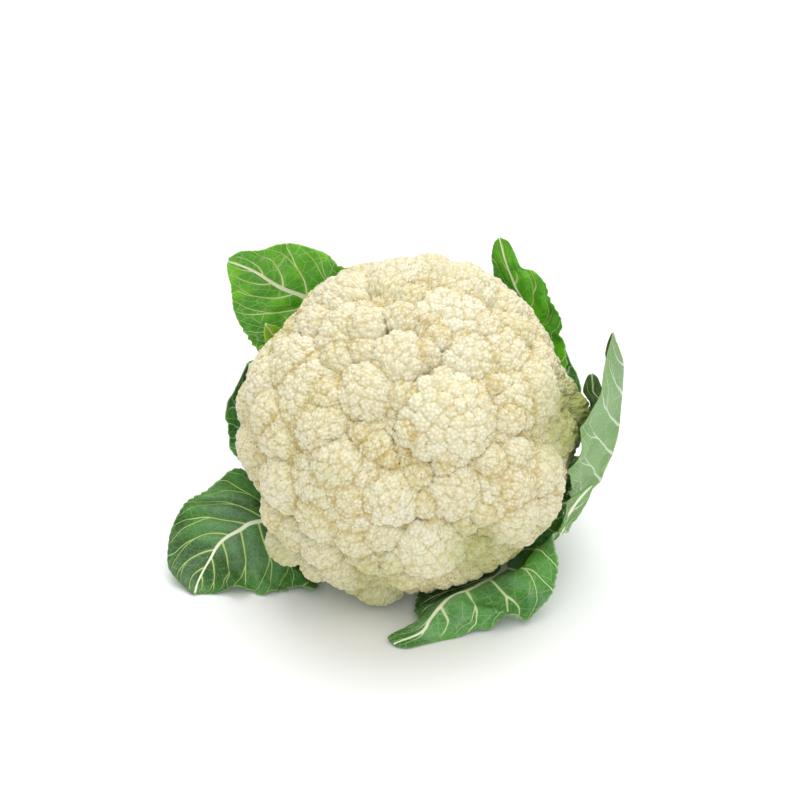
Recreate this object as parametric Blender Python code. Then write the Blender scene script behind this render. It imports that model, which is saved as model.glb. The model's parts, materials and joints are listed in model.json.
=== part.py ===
"""A cauliflower lying on a flat surface: curd, cut stem and the wrapper leaves around it.

The head is modelled about its own centre. Its florets are domes that stand out of a smaller core,
and each dome carries rounded buds. The leaves are thin waved blades that run from the stem.
Sizes are in millimetres until the meshes are written, in metres, with +Z up.
"""
from math import cos, radians, sin

import bmesh
import bpy
import numpy as np

MM = 0.001

# Head: the curd's outer radius, and its centre above the surface it rests on
HEAD_RADIUS = 85.0
HEAD_CENTRE = np.array([0.0, 0.0, 75.5])
HEAD_AXIS = np.array([0.1, -0.5, 0.86])
HEAD_AXIS = HEAD_AXIS / np.linalg.norm(HEAD_AXIS)
CORE_RADIUS = 70.0
UNDERSIDE_RADIUS = 47.0
CURD_EDGE = 116.0
UNDERSIDE_EDGE = 138.0

# Buds on the florets
BUD_RADIUS = 6.8
BUD_PITCH = 11.6
BUD_SINK = 0.86
BUD_SHARE = 0.52
BUDDED_TO = 98.0
FEWEST_BUDS = 7
SMALLEST_BUDDED = 9.0
BED_COUNT = 340
FACET = 3.4
CREASE_CONTEST = 0.5
SAMPLES = 12000
REST_SPOT = 5.5

# Stem: cut end, and the flare under the curd
STEM_RADIUS = 17.0
STEM_END = 77.7
STEM_TOP = 48.0
STEM_FLARE = 30.0

# Leaves
BLADE = 0.9
LEAF_CLEARANCE = 5.3

# Front view that the outlines are given in: distance, height of the eye, and one step in millimetres
VIEW_DISTANCE = 900.0
VIEW_ANGLE = radians(30.0)
VIEW_STEP = 0.475
VIEW_MIDDLE = (410.0, 429.0)
ACROSS = np.array([1.0, 0.0, 0.0])
UPWARD = np.array([0.0, sin(VIEW_ANGLE), cos(VIEW_ANGLE)])
TOWARD = np.array([0.0, -cos(VIEW_ANGLE), sin(VIEW_ANGLE)])

# Florets on the front, as seen: across, down, radius in view steps, and lift out of the head in millimetres
FLORETS = [
    (443, 419, 50, 5), (401, 321, 18, 1), (400, 360, 26, 1), (426, 354, 15, -1), (467, 362, 27, 1),
    (438, 339, 15, 0), (431, 323, 12, 0), (367, 392, 26, 1), (341, 359, 19, 0), (363, 351, 15, 0),
    (325, 424, 27, 1), (327, 395, 18, 1), (305, 367, 32, 1), (273, 386, 27, 1), (249, 398, 18, 0),
    (253, 446, 19, 0), (277, 415, 25, 1), (346, 305, 31, 2), (365, 328, 18, 3), (317, 326, 21, 1),
    (360, 280, 17, -1), (387, 288, 18, 0), (411, 299, 15, 0), (433, 273, 24, 1), (460, 299, 37, 2),
    (492, 284, 23, 0), (506, 309, 23, 1), (513, 333, 19, 1), (535, 337, 22, 0), (541, 360, 19, 0),
    (484, 331, 19, 1), (523, 391, 33, 2), (492, 386, 12, 0), (508, 417, 17, 1), (499, 435, 13, -4),
    (556, 434, 23, -3), (561, 396, 22, -2), (577, 409, 18, -1), (491, 463, 18, 0), (513, 453, 17, 1),
    (509, 485, 22, 3), (538, 470, 23, 2), (541, 503, 23, 2), (511, 515, 25, 3), (482, 512, 14, 1),
    (553, 487, 14, 0), (523, 531, 17, 0), (453, 490, 25, 1), (443, 467, 12, -2), (418, 475, 15, -3),
    (426, 502, 15, -2), (428, 539, 35, 3), (465, 523, 13, -1), (470, 543, 17, -4), (497, 550, 20, -4),
    (341, 465, 26, 2), (388, 497, 26, 2), (352, 497, 20, 2), (324, 514, 25, 2), (290, 482, 28, 1),
    (280, 514, 20, 1), (281, 548, 18, 0), (357, 533, 22, 1), (381, 531, 19, 1), (322, 545, 22, 1),
    (298, 531, 20, 1), (341, 564, 19, 0), (313, 572, 16, -1), (375, 446, 18, -3), (362, 434, 13, -3),
    (387, 459, 12, -4), (377, 583, 24, 0), (404, 574, 16, -1), (356, 581, 16, -1), (394, 557, 16, 0),
    (370, 562, 13, 0), (402, 396, 16, -2), (410, 432, 15, 0),
]

# Broad swellings under several florets: across and down of the top, radius in steps, and lift in millimetres
MASSES = [
    (458, 308, 62, -1), (512, 345, 50, -2), (342, 320, 50, -2), (298, 388, 62, -2), (334, 508, 84, -2),
    (518, 490, 60, -1), (372, 572, 50, -4), (524, 392, 46, -2), (262, 430, 44, -2),
]

# The head's outline from the front: degrees from the right turning upward, and reach in view steps
OUTLINE = [
    (0, 173), (6, 183), (11, 176), (18, 166), (25, 163), (40, 171), (60, 176), (78, 181),
    (92, 170), (104, 170), (115, 174), (130, 162), (142, 154), (155, 172), (172, 179), (190, 175),
    (200, 162), (212, 179), (224, 189), (237, 180), (252, 183), (262, 184), (272, 168), (284, 156),
    (303, 162), (315, 166), (330, 171), (346, 163), (353, 167), (360, 173),
]

# Florets on the hidden side
HIDDEN_COUNT = 112
HIDDEN_RADIUS = 15.0
HIDDEN_BEHIND = 0.35
GOLDEN_ANGLE = radians(137.508)


def unit(vectors):
    """Vectors scaled to length one."""
    vectors = np.asarray(vectors, float)
    return vectors / np.linalg.norm(vectors, axis=-1, keepdims=True)


def place(across, up, toward):
    """A point relative to the head's centre from its offsets in the front view's directions."""
    return across * ACROSS + up * UPWARD + toward * TOWARD


def sight_line(px, py):
    """The eye, and the run from it to the head's plane, for a step of the front view."""
    eye = VIEW_DISTANCE * TOWARD
    aim = place((px - VIEW_MIDDLE[0]) * VIEW_STEP, (VIEW_MIDDLE[1] - py) * VIEW_STEP, 0.0)
    return eye, aim - eye


def on_head(px, py, radius):
    """Point seen at a step of the view, at a distance from the head's centre, or the nearest to it."""
    eye, run = sight_line(px, py)
    middle = -(eye @ run) / (run @ run)
    nearest = eye + middle * run
    spare = radius ** 2 - nearest @ nearest
    if spare <= 0.0:
        return nearest
    return nearest - unit(run) * spare ** 0.5


def at_depth(px, py, y):
    """Point seen at a step of the view, at a depth behind the head's centre."""
    eye, run = sight_line(px, py)
    return HEAD_CENTRE + eye + run * (y - eye[1]) / run[1]


def at_height(px, py, z):
    """Point seen at a step of the view, at a height above the surface."""
    eye, run = sight_line(px, py)
    return HEAD_CENTRE + eye + run * (z - HEAD_CENTRE[2] - eye[2]) / run[2]


def standing(*points):
    """Outline points of a leaf that stands, each as seen and with its depth."""
    return [at_depth(px, py, y) for px, py, y in points]


def lying(*points):
    """Outline points of a leaf that lies, each as seen and with its height."""
    return [at_height(px, py, z) for px, py, z in points]


def spiral(count, axis, widest):
    """Directions spread evenly by the golden angle round an axis, out to the widest angle in degrees."""
    step = np.arange(count) + 0.5
    height = 1.0 - step / count * (1.0 - cos(radians(widest)))
    turn = step * GOLDEN_ANGLE
    side = unit(np.cross(axis, [0.31, 0.93, 0.2]))
    other = np.cross(axis, side)
    ring = np.sqrt(1.0 - height ** 2)
    return (height[:, None] * axis + (ring * np.cos(turn))[:, None] * side
            + (ring * np.sin(turn))[:, None] * other)


def on_outline(balls):
    """Balls moved sideways, as seen from the front, until none reaches past the head's outline."""
    near = VIEW_DISTANCE / (VIEW_DISTANCE - balls[:, :3] @ TOWARD) / VIEW_STEP
    flat = np.stack([balls[:, :3] @ ACROSS, balls[:, :3] @ UPWARD], axis=1)
    far = np.linalg.norm(flat, axis=1)
    angle = np.degrees(np.arctan2(flat[:, 1], flat[:, 0])) % 360.0
    reach = np.interp(angle, *np.transpose(OUTLINE))
    excess = np.maximum((far + balls[:, 3]) * near - reach, 0.0) / near
    shift = -flat / far[:, None] * excess[:, None]
    moved = balls.copy()
    moved[:, :3] += shift[:, :1] * ACROSS + shift[:, 1:] * UPWARD
    return moved


def as_balls(table):
    """Centres and radii from the rows of a table given in the front view."""
    balls = []
    for px, py, steps, lift in table:
        radius = steps * VIEW_STEP
        centre = on_head(px, py, HEAD_RADIUS + lift - radius)
        balls.append([*centre, radius])
    return on_outline(np.array(balls))


def swellings():
    """Centres and radii of the broad swellings, each under the place where its top is seen."""
    balls = []
    for px, py, steps, lift in MASSES:
        radius = steps * VIEW_STEP
        top = unit(on_head(px, py, HEAD_RADIUS))
        balls.append([*(top * (HEAD_RADIUS + lift - radius)), radius])
    return on_outline(np.array(balls))


def hidden_florets(front):
    """Florets spread over the rest of the head, wherever the front ones leave room."""
    rng = np.random.default_rng(7)
    balls = []
    for direction in spiral(HIDDEN_COUNT, HEAD_AXIS, CURD_EDGE - 6.0):
        radius = HIDDEN_RADIUS * rng.uniform(0.8, 1.15)
        lift = rng.uniform(-2.0, 2.0)
        shift = rng.normal(0.0, 0.05, 3)
        centre = unit(direction + shift) * (HEAD_RADIUS + lift - radius)
        gap = np.linalg.norm(front[:, :3] - centre, axis=1) - 0.75 * front[:, 3]
        if direction @ TOWARD < HIDDEN_BEHIND and gap.min() > 0.45 * radius:
            balls.append([*centre, radius])
    return on_outline(np.array(balls))


def buds_on(florets):
    """Rounded buds on every floret that is large enough, and a bed of them on the core between florets."""
    balls = []
    for x, y, z, radius in florets:
        if radius < SMALLEST_BUDDED:
            balls.append([x, y, z, radius])
            continue
        centre = np.array([x, y, z])
        area = 2.0 * np.pi * radius ** 2 * (1.0 - cos(radians(BUDDED_TO)))
        count = max(FEWEST_BUDS, round(area / (0.866 * BUD_PITCH ** 2)))
        size = min(BUD_RADIUS, BUD_SHARE * radius)
        for direction in spiral(count, unit(centre), BUDDED_TO):
            balls.append([*(centre + direction * (radius - BUD_SINK * size)), size])
        balls.append([*centre, radius - 0.3 * size])
    for direction in spiral(BED_COUNT, HEAD_AXIS, CURD_EDGE):
        balls.append([*(direction * CORE_RADIUS), BUD_RADIUS])
    return np.array(balls)


def exits(rays, balls):
    """Distance from the head's centre at which each ray leaves each ball, or zero where it misses."""
    along = rays @ balls[:, :3].T
    inside = balls[:, 3] ** 2 - (balls[:, :3] ** 2).sum(1) + along ** 2
    return np.where(inside > 0.0, along + np.sqrt(np.maximum(inside, 0.0)), 0.0)


def core(rays):
    """Core radius along each ray: the full core at the top and the smaller underside round the stem."""
    polar = np.degrees(np.arccos(np.clip(rays @ HEAD_AXIS, -1.0, 1.0)))
    fade = np.clip((polar - CURD_EDGE) / (UNDERSIDE_EDGE - CURD_EDGE), 0.0, 1.0)
    fade = fade * fade * (3.0 - 2.0 * fade)
    return CORE_RADIUS + (UNDERSIDE_RADIUS - CORE_RADIUS) * fade


def curd_reach(rays, balls):
    """Radius of the curd's surface along each ray."""
    return np.maximum(exits(rays, balls).max(1), core(rays))


def thinned(rays, spacing):
    """Rays in their order, each kept if no earlier one passes within the spacing."""
    kept = np.empty((0, 3))
    for ray in rays:
        if not len(kept) or (kept @ ray).max() < spacing:
            kept = np.vstack([kept, ray])
    return kept


def curd_rays(balls):
    """Directions of the curd's vertices: bud tops first, then creases, then the ground between them."""
    tops = unit(balls[:, :3] + unit(balls[:, :3]) * balls[:, 3:])
    own = exits(tops, balls)
    tops = tops[np.diag(own) > own.max(1) - 1.0]
    fine = spiral(SAMPLES, HEAD_AXIS, 179.9)
    ranked = np.sort(exits(fine, balls), axis=1)
    crease = ranked[:, -1] - ranked[:, -2] < CREASE_CONTEST
    fine = np.vstack([fine[crease], fine[~crease]])
    polar = fine @ HEAD_AXIS
    covered = fine[polar > cos(radians(UNDERSIDE_EDGE))]
    under = fine[polar <= cos(radians(UNDERSIDE_EDGE))]
    spacing = cos(FACET / HEAD_RADIUS)
    rays = thinned(np.vstack([tops, covered]), spacing)
    return thinned(np.vstack([rays, under]), spacing)


def new_object(name, vertices, faces, colour, roughness):
    """A mesh object with its own material, from points in millimetres."""
    mesh = bpy.data.meshes.new(name)
    mesh.from_pydata((np.asarray(vertices) * MM).tolist(), [], faces)
    mesh.update()
    made = bpy.data.objects.new(name, mesh)
    bpy.context.scene.collection.objects.link(made)
    material = bpy.data.materials.new(name)
    material.use_nodes = True
    shader = material.node_tree.nodes["Principled BSDF"]
    shader.inputs["Base Color"].default_value = (*colour, 1.0)
    shader.inputs["Roughness"].default_value = roughness
    made.data.materials.append(material)
    return made


def hull_faces(rays):
    """Triangles of the ball whose corners are the given directions."""
    shell = bmesh.new()
    corners = [shell.verts.new(ray) for ray in rays]
    for number, corner in enumerate(corners):
        corner.index = number
    bmesh.ops.convex_hull(shell, input=corners)
    bmesh.ops.triangulate(shell, faces=shell.faces)
    bmesh.ops.recalc_face_normals(shell, faces=shell.faces)
    faces = [[corner.index for corner in face.verts] for face in shell.faces]
    shell.free()
    return faces


def rest_spot(balls):
    """Rays to a small ring and its middle on the surface, under the lowest place of the curd."""
    rays = spiral(SAMPLES, HEAD_AXIS, 179.9)
    points = HEAD_CENTRE + rays * curd_reach(rays, balls)[:, None]
    lowest = points[points[:, 2].argmin()]
    turn = np.linspace(0.0, 2.0 * np.pi, 8, endpoint=False)
    ring = np.stack([np.cos(turn), np.sin(turn), 0.0 * turn], axis=1) * REST_SPOT
    spot = np.vstack([np.zeros(3), ring]) + [lowest[0], lowest[1], 0.0]
    return unit(spot - HEAD_CENTRE)


def make_curd(balls):
    """The whole head of florets as one closed body, pressed flat where it meets the surface."""
    spot = rest_spot(balls)
    rays = thinned(np.vstack([spot, curd_rays(balls)]), cos(FACET / HEAD_RADIUS))
    points = HEAD_CENTRE + rays * curd_reach(rays, balls)[:, None]
    low = points[:, 2] < 0.0
    low[:len(spot)] = True
    points[low] = HEAD_CENTRE - rays[low] * (HEAD_CENTRE[2] / rays[low, 2])[:, None]
    points[low, 2] = 0.0
    return new_object("curd", points, hull_faces(rays), (0.80, 0.72, 0.52), 0.6)


def make_stem():
    """Cut stem: a ribbed flare whose hollow top follows the curd's underside, and a flat cut end."""
    sides = 20
    rings = 7
    down = -HEAD_AXIS
    side = unit(np.cross(down, [0.0, 0.0, 1.0]))
    other = np.cross(down, side)
    turn = np.linspace(0.0, 2.0 * np.pi, sides, endpoint=False)
    around = np.cos(turn)[:, None] * side + np.sin(turn)[:, None] * other
    ribs = 1.0 + 0.06 * np.cos(5.0 * turn)
    vertices = []
    for ring in range(rings):
        share = ring / (rings - 1)
        radius = STEM_RADIUS + (STEM_FLARE - STEM_RADIUS) * share ** 2.2
        spread = radius * (1.0 + (ribs - 1.0) * share)
        top = (STEM_TOP ** 2 - (STEM_FLARE * ribs) ** 2) ** 0.5
        along = STEM_END + (top - STEM_END) * share
        vertices.extend(HEAD_CENTRE + along[:, None] * down + around * spread[:, None])
    for share in (0.66, 0.33):
        ring = around * (STEM_FLARE * share)
        height = (STEM_TOP ** 2 - (STEM_FLARE * share) ** 2) ** 0.5
        vertices.extend(HEAD_CENTRE + height * down + ring)
    levels = len(vertices) // sides
    vertices.append(HEAD_CENTRE + STEM_TOP * down)
    vertices.append(HEAD_CENTRE + STEM_END * down)
    crown = len(vertices) - 2
    cut = len(vertices) - 1
    faces = []
    for level in range(levels - 1):
        for number in range(sides):
            after = (number + 1) % sides
            low, high = level * sides, (level + 1) * sides
            faces.append([low + number, high + number, high + after, low + after])
    last = (levels - 1) * sides
    for number in range(sides):
        after = (number + 1) % sides
        faces.append([cut, number, after])
        faces.append([crown, last + after, last + number])
    vertices = np.array(vertices)
    vertices[:, 2] = np.maximum(vertices[:, 2], 0.0)
    return new_object("stem", vertices, faces, (0.70, 0.76, 0.50), 0.6)


def smooth_curve(points, count):
    """A curve through the points, read at even steps of its length."""
    points = np.asarray(points, float)
    ends = np.vstack([2.0 * points[0] - points[1], points, 2.0 * points[-1] - points[-2]])
    fine = []
    for a, b, c, d in zip(ends, ends[1:], ends[2:], ends[3:]):
        t = np.linspace(0.0, 1.0, 12, endpoint=False)[:, None]
        fine.append(0.5 * (2.0 * b + (c - a) * t + (2.0 * a - 5.0 * b + 4.0 * c - d) * t ** 2
                           + (3.0 * b - a - 3.0 * c + d) * t ** 3))
    fine = np.vstack([*fine, points[-1:]])
    length = np.concatenate([[0.0], np.cumsum(np.linalg.norm(np.diff(fine, axis=0), axis=1))])
    places = np.linspace(0.0, length[-1], count)
    return np.stack([np.interp(places, length, fine[:, i]) for i in range(3)], axis=1)


def clear_of_head(points, florets):
    """Points moved straight out from the head's centre where they would come too near a floret."""
    swollen = florets.copy()
    swollen[:, 3] += LEAF_CLEARANCE
    out = points - HEAD_CENTRE
    far = np.linalg.norm(out, axis=-1, keepdims=True)
    rays = (out / far).reshape(-1, 3)
    need = np.maximum(exits(rays, swollen).max(1), core(rays) + LEAF_CLEARANCE)
    return HEAD_CENTRE + out / far * np.maximum(far, need.reshape(far.shape))


def make_leaf(name, florets, left, rib, right, colour, cup=0.0, ruffle=1.2, waves=4.0, lobes=0.0,
              rows=15, petiole=5.0):
    """A thin blade between two edges and a thick midrib, whose two faces are split alike."""
    columns = np.array([-1.0, -0.72, -0.42, -0.14, 0.14, 0.42, 0.72, 1.0])
    u = np.linspace(0.0, 1.0, rows)
    middle = smooth_curve(rib, rows)
    edges = [smooth_curve(side, rows) for side in (left, right)]
    wave = 1.0 + lobes * np.sin(2.0 * np.pi * waves * u) * np.sin(np.pi * u)
    edges = [middle + (edge - middle) * wave[:, None] for edge in edges]
    share = np.abs(columns)[None, :, None]
    sides = np.where(columns[None, :, None] < 0.0, edges[0][:, None], edges[1][:, None])
    sheet = middle[:, None] + (sides - middle[:, None]) * share
    sheet = clear_of_head(sheet, florets)
    facing = unit(np.cross(np.gradient(sheet, axis=1), np.gradient(sheet, axis=0)))
    reach = np.linalg.norm(sides - middle[:, None], axis=-1)
    arch = cup * reach * (share[..., 0] - share[..., 0] ** 2)
    ripple = ruffle * share[..., 0] ** 2 * np.sin(2.0 * np.pi * (waves + 0.5) * u)[:, None]
    ripple = ripple * np.sin(np.pi * u)[:, None]
    sheet = clear_of_head(sheet + facing * (ripple - arch)[..., None], florets)
    facing = unit(np.cross(np.gradient(sheet, axis=1), np.gradient(sheet, axis=0)))
    rib_width = 1.5 + 6.5 * (1.0 - u) ** 1.5
    rib_depth = 0.4 + petiole * (1.0 - u) ** 1.3
    offset = share[..., 0] * reach / rib_width[:, None]
    bulge = rib_depth[:, None] * np.exp(-offset ** 2)
    upper = sheet + facing * BLADE / 2.0
    lower = sheet - facing * (BLADE / 2.0 + bulge)[..., None]
    upper[..., 2] = np.maximum(upper[..., 2], BLADE)
    lower[..., 2] = np.maximum(lower[..., 2], 0.0)
    return new_object(name, np.vstack([upper.reshape(-1, 3), lower.reshape(-1, 3)]),
                      blade_faces(rows, len(columns)), colour, 0.5)


def blade_faces(rows, columns):
    """Triangles of a closed blade: both faces split along the same diagonals, and a rim between them."""
    back = rows * columns
    faces = []
    for row in range(rows - 1):
        for column in range(columns - 1):
            a = row * columns + column
            b, c, d = a + 1, a + columns + 1, a + columns
            faces += [[a, b, c], [a, c, d], [back + a, back + c, back + b], [back + a, back + d, back + c]]
    rim = list(range(columns))
    rim += [row * columns + columns - 1 for row in range(1, rows)]
    rim += [(rows - 1) * columns + column for column in range(columns - 2, -1, -1)]
    rim += [row * columns for row in range(rows - 2, 0, -1)]
    for a, b in zip(rim, rim[1:] + rim[:1]):
        faces += [[b, a, back + a], [b, back + a, back + b]]
    return faces


ADAXIAL = (0.10, 0.26, 0.05)
BLOOM = (0.08, 0.20, 0.07)
ABAXIAL = (0.35, 0.50, 0.33)


def make_leaves(florets):
    """The wrapper leaves, each from its base at the stem to its tip."""
    make_leaf(
        "leaf_upper_left", florets,
        left=[(-29, 50, 22), (-50, 66, 42), (-72, 70, 68)]
        + standing((260, 354, 55), (249, 339, 55), (236, 317, 54), (232, 298, 52), (231, 286, 50),
                   (228, 276, 49), (227, 266, 48)),
        rib=[(-23, 46, 27), (-36, 68, 50), (-42, 76, 85)]
        + standing((312, 302, 66), (280, 287, 60), (252, 270, 52), (228.5, 261, 48)),
        right=[(-14, 50, 32), (-22, 78, 56), (-12, 84, 92), (-8, 78, 122)]
        + standing((347, 268, 66), (327, 254, 64), (304, 246, 62), (280, 244, 58), (262, 250, 54),
                   (242, 251, 50), (229, 258, 48)),
        colour=ADAXIAL, cup=0.12, rows=18)
    make_leaf(
        "leaflet_upper_left", florets,
        left=[(-36, 48, 24), (-66, 58, 48)] + standing((260, 353, 44), (265, 345, 43), (264, 334, 42),
                                                       (264.5, 325.5, 42)),
        rib=[(-31, 45, 28), (-58, 62, 54)] + standing((278, 343, 50), (271, 333, 46), (265.5, 324.5, 42)),
        right=[(-28, 50, 34), (-54, 70, 62)] + standing((293, 334, 54), (283, 329, 50), (276, 326, 46),
                                                        (266.5, 324, 42)),
        colour=(0.22, 0.36, 0.04), rows=10, waves=3.0, petiole=2.5)
    make_leaf(
        "leaf_upper_right", florets,
        left=[(-2, 54, 34), (6, 84, 70), (20, 86, 106)]
        + standing((493, 290, 68), (493, 272, 64), (492, 255, 60), (494, 243, 56), (498, 239, 55)),
        rib=[(3, 49, 28), (22, 76, 50), (38, 84, 84)]
        + standing((523, 309, 66), (515, 285, 62), (506, 262, 58), (499.5, 238.5, 55)),
        right=[(8, 50, 30), (42, 80, 56)]
        + standing((560, 372, 56), (564, 352, 56), (558, 336, 57), (563, 326, 58), (557, 308, 59),
                   (549, 296, 60), (545, 284, 60), (534, 272, 60), (522, 268, 60), (516, 256, 58),
                   (509, 242, 56), (501, 238, 55)),
        colour=ADAXIAL, ruffle=2.0, rows=20)
    make_leaf(
        "leaf_right", florets,
        left=[(12, 44, 26), (48, 44, 24), (74, 36, 40)]
        + standing((585, 455, 28), (600, 430, 30), (606, 405, 30), (608, 385, 26), (605, 362, 14),
                   (607, 345, 2), (611, 334, -5)),
        rib=[(17, 36, 21), (48, 30, 14), (72, 18, 20)]
        + standing((590.5, 484, 9), (602, 467, 7), (615, 436, 5), (621, 406, 5), (624.7, 381, 5),
                   (622, 362, 2), (612, 333, -6)),
        right=[(20, 30, 16), (48, 22, 12), (68, 12, 26)]
        + standing((568, 488, -3), (573, 465, -11), (579, 446, -17), (590.5, 430, -22), (600, 406, -24),
                   (603.5, 385, -22), (607, 362, -16), (613, 334, -7)),
        colour=ABAXIAL, cup=0.1, rows=18)
    make_leaf(
        "leaf_right_small", florets,
        left=[(10, 51, 34), (44, 66, 38)] + standing((584, 412, 37), (583, 390, 36), (587, 377, 35),
                                                     (590, 374.5, 35)),
        rib=[(14, 46, 32), (49, 59, 36)] + standing((594, 408, 36), (593, 390, 35), (592, 374, 34)),
        right=[(19, 44, 31), (55, 52, 34)] + standing((605, 410, 34), (603, 392, 34), (598, 378, 34),
                                                      (594, 374.5, 34)),
        colour=BLOOM, rows=10, petiole=2.5)
    make_leaf(
        "leaf_right_low", florets,
        left=[(29, 33, 10), (56, 14, 5)] + standing((563, 534, -23), (572, 523, -22), (581, 512, -20),
                                                   (588, 500, -16), (593, 487, -11)),
        rib=[(27, 29, 8), (53, 9, 5)] + standing((557, 534, -25), (565, 518, -24), (574, 505, -21),
                                                  (582, 495, -17), (591, 485.5, -11)),
        right=[(25, 25, 7), (50, 4, 5)] + standing((552, 533, -26), (553, 519, -26), (560, 510, -24),
                                                    (571, 498, -20), (588, 485.5, -12)),
        colour=ABAXIAL, ruffle=0.8, rows=12, petiole=2.0)
    make_leaf(
        "leaf_lower_right", florets,
        left=[(17, 16, 12), (50, -14, 22)]
        + lying((552, 532, 40), (554, 547, 36), (559, 561, 30), (556, 578, 22), (553, 591, 16),
                (546, 602, 12), (534, 614, 6), (525, 622, 3), (517, 616, 8), (508, 615, 10),
                (497, 621, 6), (490, 629, 2), (477, 629, 3), (456, 638, 0.4), (431, 643, 0.4),
                (407, 648, 1), (396, 646, 1)),
        rib=[(12, 20, 12), (32, 2, 9)]
        + lying((505, 567.5, 12), (477, 586, 15), (450, 597, 15), (431, 618, 9), (422, 632, 5),
                (394, 644, 2)),
        right=[(4, 17, 8), (14, -6, 5)]
        + lying((432, 577, 8), (419, 590, 5), (414.5, 610, 2), (419, 618, 5), (408, 626, 5),
                (389, 636, 3), (389, 641, 2)),
        colour=BLOOM, cup=0.1, ruffle=0.8, rows=20)
    make_leaf(
        "leaf_lower_left", florets,
        left=[(-21, 22, 9), (-38, 6, 4)]
        + lying((316, 589, 3), (304, 586, 4), (293, 587, 3), (274, 590, 3), (264, 595, 0.4), (253, 593, 0.4),
                (244, 586, 6), (233, 586, 7), (226, 590, 3), (213, 594, 0.4), (199, 594, 0.4)),
        rib=[(-26, 27, 15), (-50, 20, 13)]
        + standing((257, 522, 8), (240, 530, 4), (221, 542, -3), (210, 560, -12), (199, 580, -22))
        + lying((195, 593, 1.5)),
        right=[(-28, 33, 19), (-60, 34, 24)]
        + standing((241, 468, 27), (219, 480, 18), (207, 490, 14), (186, 502, 8), (173, 525, 0),
                   (167, 545, -8), (166, 560, -14), (172, 574, -20), (184, 587, -26)) + lying((192, 594, 1)),
        colour=BLOOM, cup=0.12, ruffle=1.5, rows=20)
    make_leaf(
        "leaf_back", florets,
        left=[(-20, 54, 26), (-44, 84, 46), (-46, 92, 78), (-34, 92, 104), (-14, 96, 115)],
        rib=[(-12, 52, 25), (-10, 84, 44), (-6, 99, 76), (-6, 100, 100), (-8, 98, 116)],
        right=[(-4, 56, 26), (26, 86, 46), (32, 96, 78), (20, 96, 104), (-2, 96, 115)],
        colour=ABAXIAL, lobes=0.06, ruffle=1.6)
    make_leaf(
        "leaf_back_left", florets,
        left=[(-34, 44, 14), (-72, 50, 18), (-92, 54, 36), (-92, 58, 56), (-85, 64, 70)],
        rib=[(-29, 48, 14), (-62, 68, 26), (-80, 76, 46), (-84, 74, 60), (-82, 70, 74)],
        right=[(-22, 52, 15), (-46, 80, 30), (-58, 90, 54), (-70, 84, 68), (-78, 74, 74)],
        colour=ABAXIAL, lobes=0.06, ruffle=1.4)
    make_leaf(
        "leaf_back_right", florets,
        left=[(6, 58, 18), (34, 84, 26), (48, 94, 50), (60, 90, 74), (68, 82, 85)],
        rib=[(14, 54, 14), (46, 72, 22), (68, 80, 44), (74, 80, 66), (72, 78, 84)],
        right=[(20, 48, 12), (58, 54, 18), (84, 60, 36), (86, 66, 62), (78, 74, 82)],
        colour=ABAXIAL, lobes=0.06, ruffle=1.4)


def centre_on_floor():
    """Move every piece sideways so that the whole stands over the origin."""
    pieces = [made for made in bpy.data.objects if made.type == "MESH"]
    corners = np.vstack([np.array([corner.co for corner in made.data.vertices]) for made in pieces])
    middle = (corners.min(0) + corners.max(0)) / 2.0
    for made in pieces:
        for corner in made.data.vertices:
            corner.co.x -= middle[0]
            corner.co.y -= middle[1]
    print("size", (corners.max(0) - corners.min(0)).round(4), "moved by", (-middle).round(5))


def main():
    """Build the cauliflower from nothing."""
    for old in list(bpy.data.objects):
        bpy.data.objects.remove(old)
    front = as_balls(FLORETS)
    florets = np.vstack([front, hidden_florets(front)])
    curd = make_curd(np.vstack([buds_on(florets), swellings()]))
    rest = curd.data.vertices[0]
    make_stem()
    make_leaves(florets)
    centre_on_floor()
    print("florets", len(florets), "curd triangles", len(curd.data.polygons), "rest", tuple(rest.co))


main()
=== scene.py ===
# %% [markdown]
# # A cauliflower on a white surface
#
# The frame holds the plain solids of the part: one curd, one stem and eleven leaves. This script
# grows the fine surfaces over them with numpy, and gives each one a finish made of shader nodes.
# All lengths are in millimetres until a mesh is written, in metres.

# %% Load the frame
import json
from math import cos, pi, radians, sin

import bpy
import numpy as np
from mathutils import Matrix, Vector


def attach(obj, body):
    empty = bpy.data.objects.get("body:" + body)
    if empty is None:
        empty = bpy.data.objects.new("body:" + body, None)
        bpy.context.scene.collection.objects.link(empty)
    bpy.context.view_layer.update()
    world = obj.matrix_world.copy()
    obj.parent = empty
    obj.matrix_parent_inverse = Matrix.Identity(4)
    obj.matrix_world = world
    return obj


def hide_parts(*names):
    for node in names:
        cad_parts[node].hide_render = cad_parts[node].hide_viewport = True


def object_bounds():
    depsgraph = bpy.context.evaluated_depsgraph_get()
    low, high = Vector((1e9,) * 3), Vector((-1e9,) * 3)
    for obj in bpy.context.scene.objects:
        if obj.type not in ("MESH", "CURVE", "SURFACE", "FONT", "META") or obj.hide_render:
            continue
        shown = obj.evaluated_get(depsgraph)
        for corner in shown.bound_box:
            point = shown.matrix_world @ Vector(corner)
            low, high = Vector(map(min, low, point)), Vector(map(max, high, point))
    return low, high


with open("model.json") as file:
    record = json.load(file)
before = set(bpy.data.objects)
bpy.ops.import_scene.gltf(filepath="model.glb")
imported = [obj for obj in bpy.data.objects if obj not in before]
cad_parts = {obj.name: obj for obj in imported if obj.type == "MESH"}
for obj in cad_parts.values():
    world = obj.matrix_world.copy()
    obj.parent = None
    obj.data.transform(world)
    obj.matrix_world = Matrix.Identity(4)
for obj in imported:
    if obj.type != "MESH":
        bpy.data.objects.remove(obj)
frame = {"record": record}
CAD_BOX = [list(corner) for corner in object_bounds()]

MM = 0.001
GOLDEN_ANGLE = radians(137.508)
print("plain box in metres", CAD_BOX)

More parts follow.
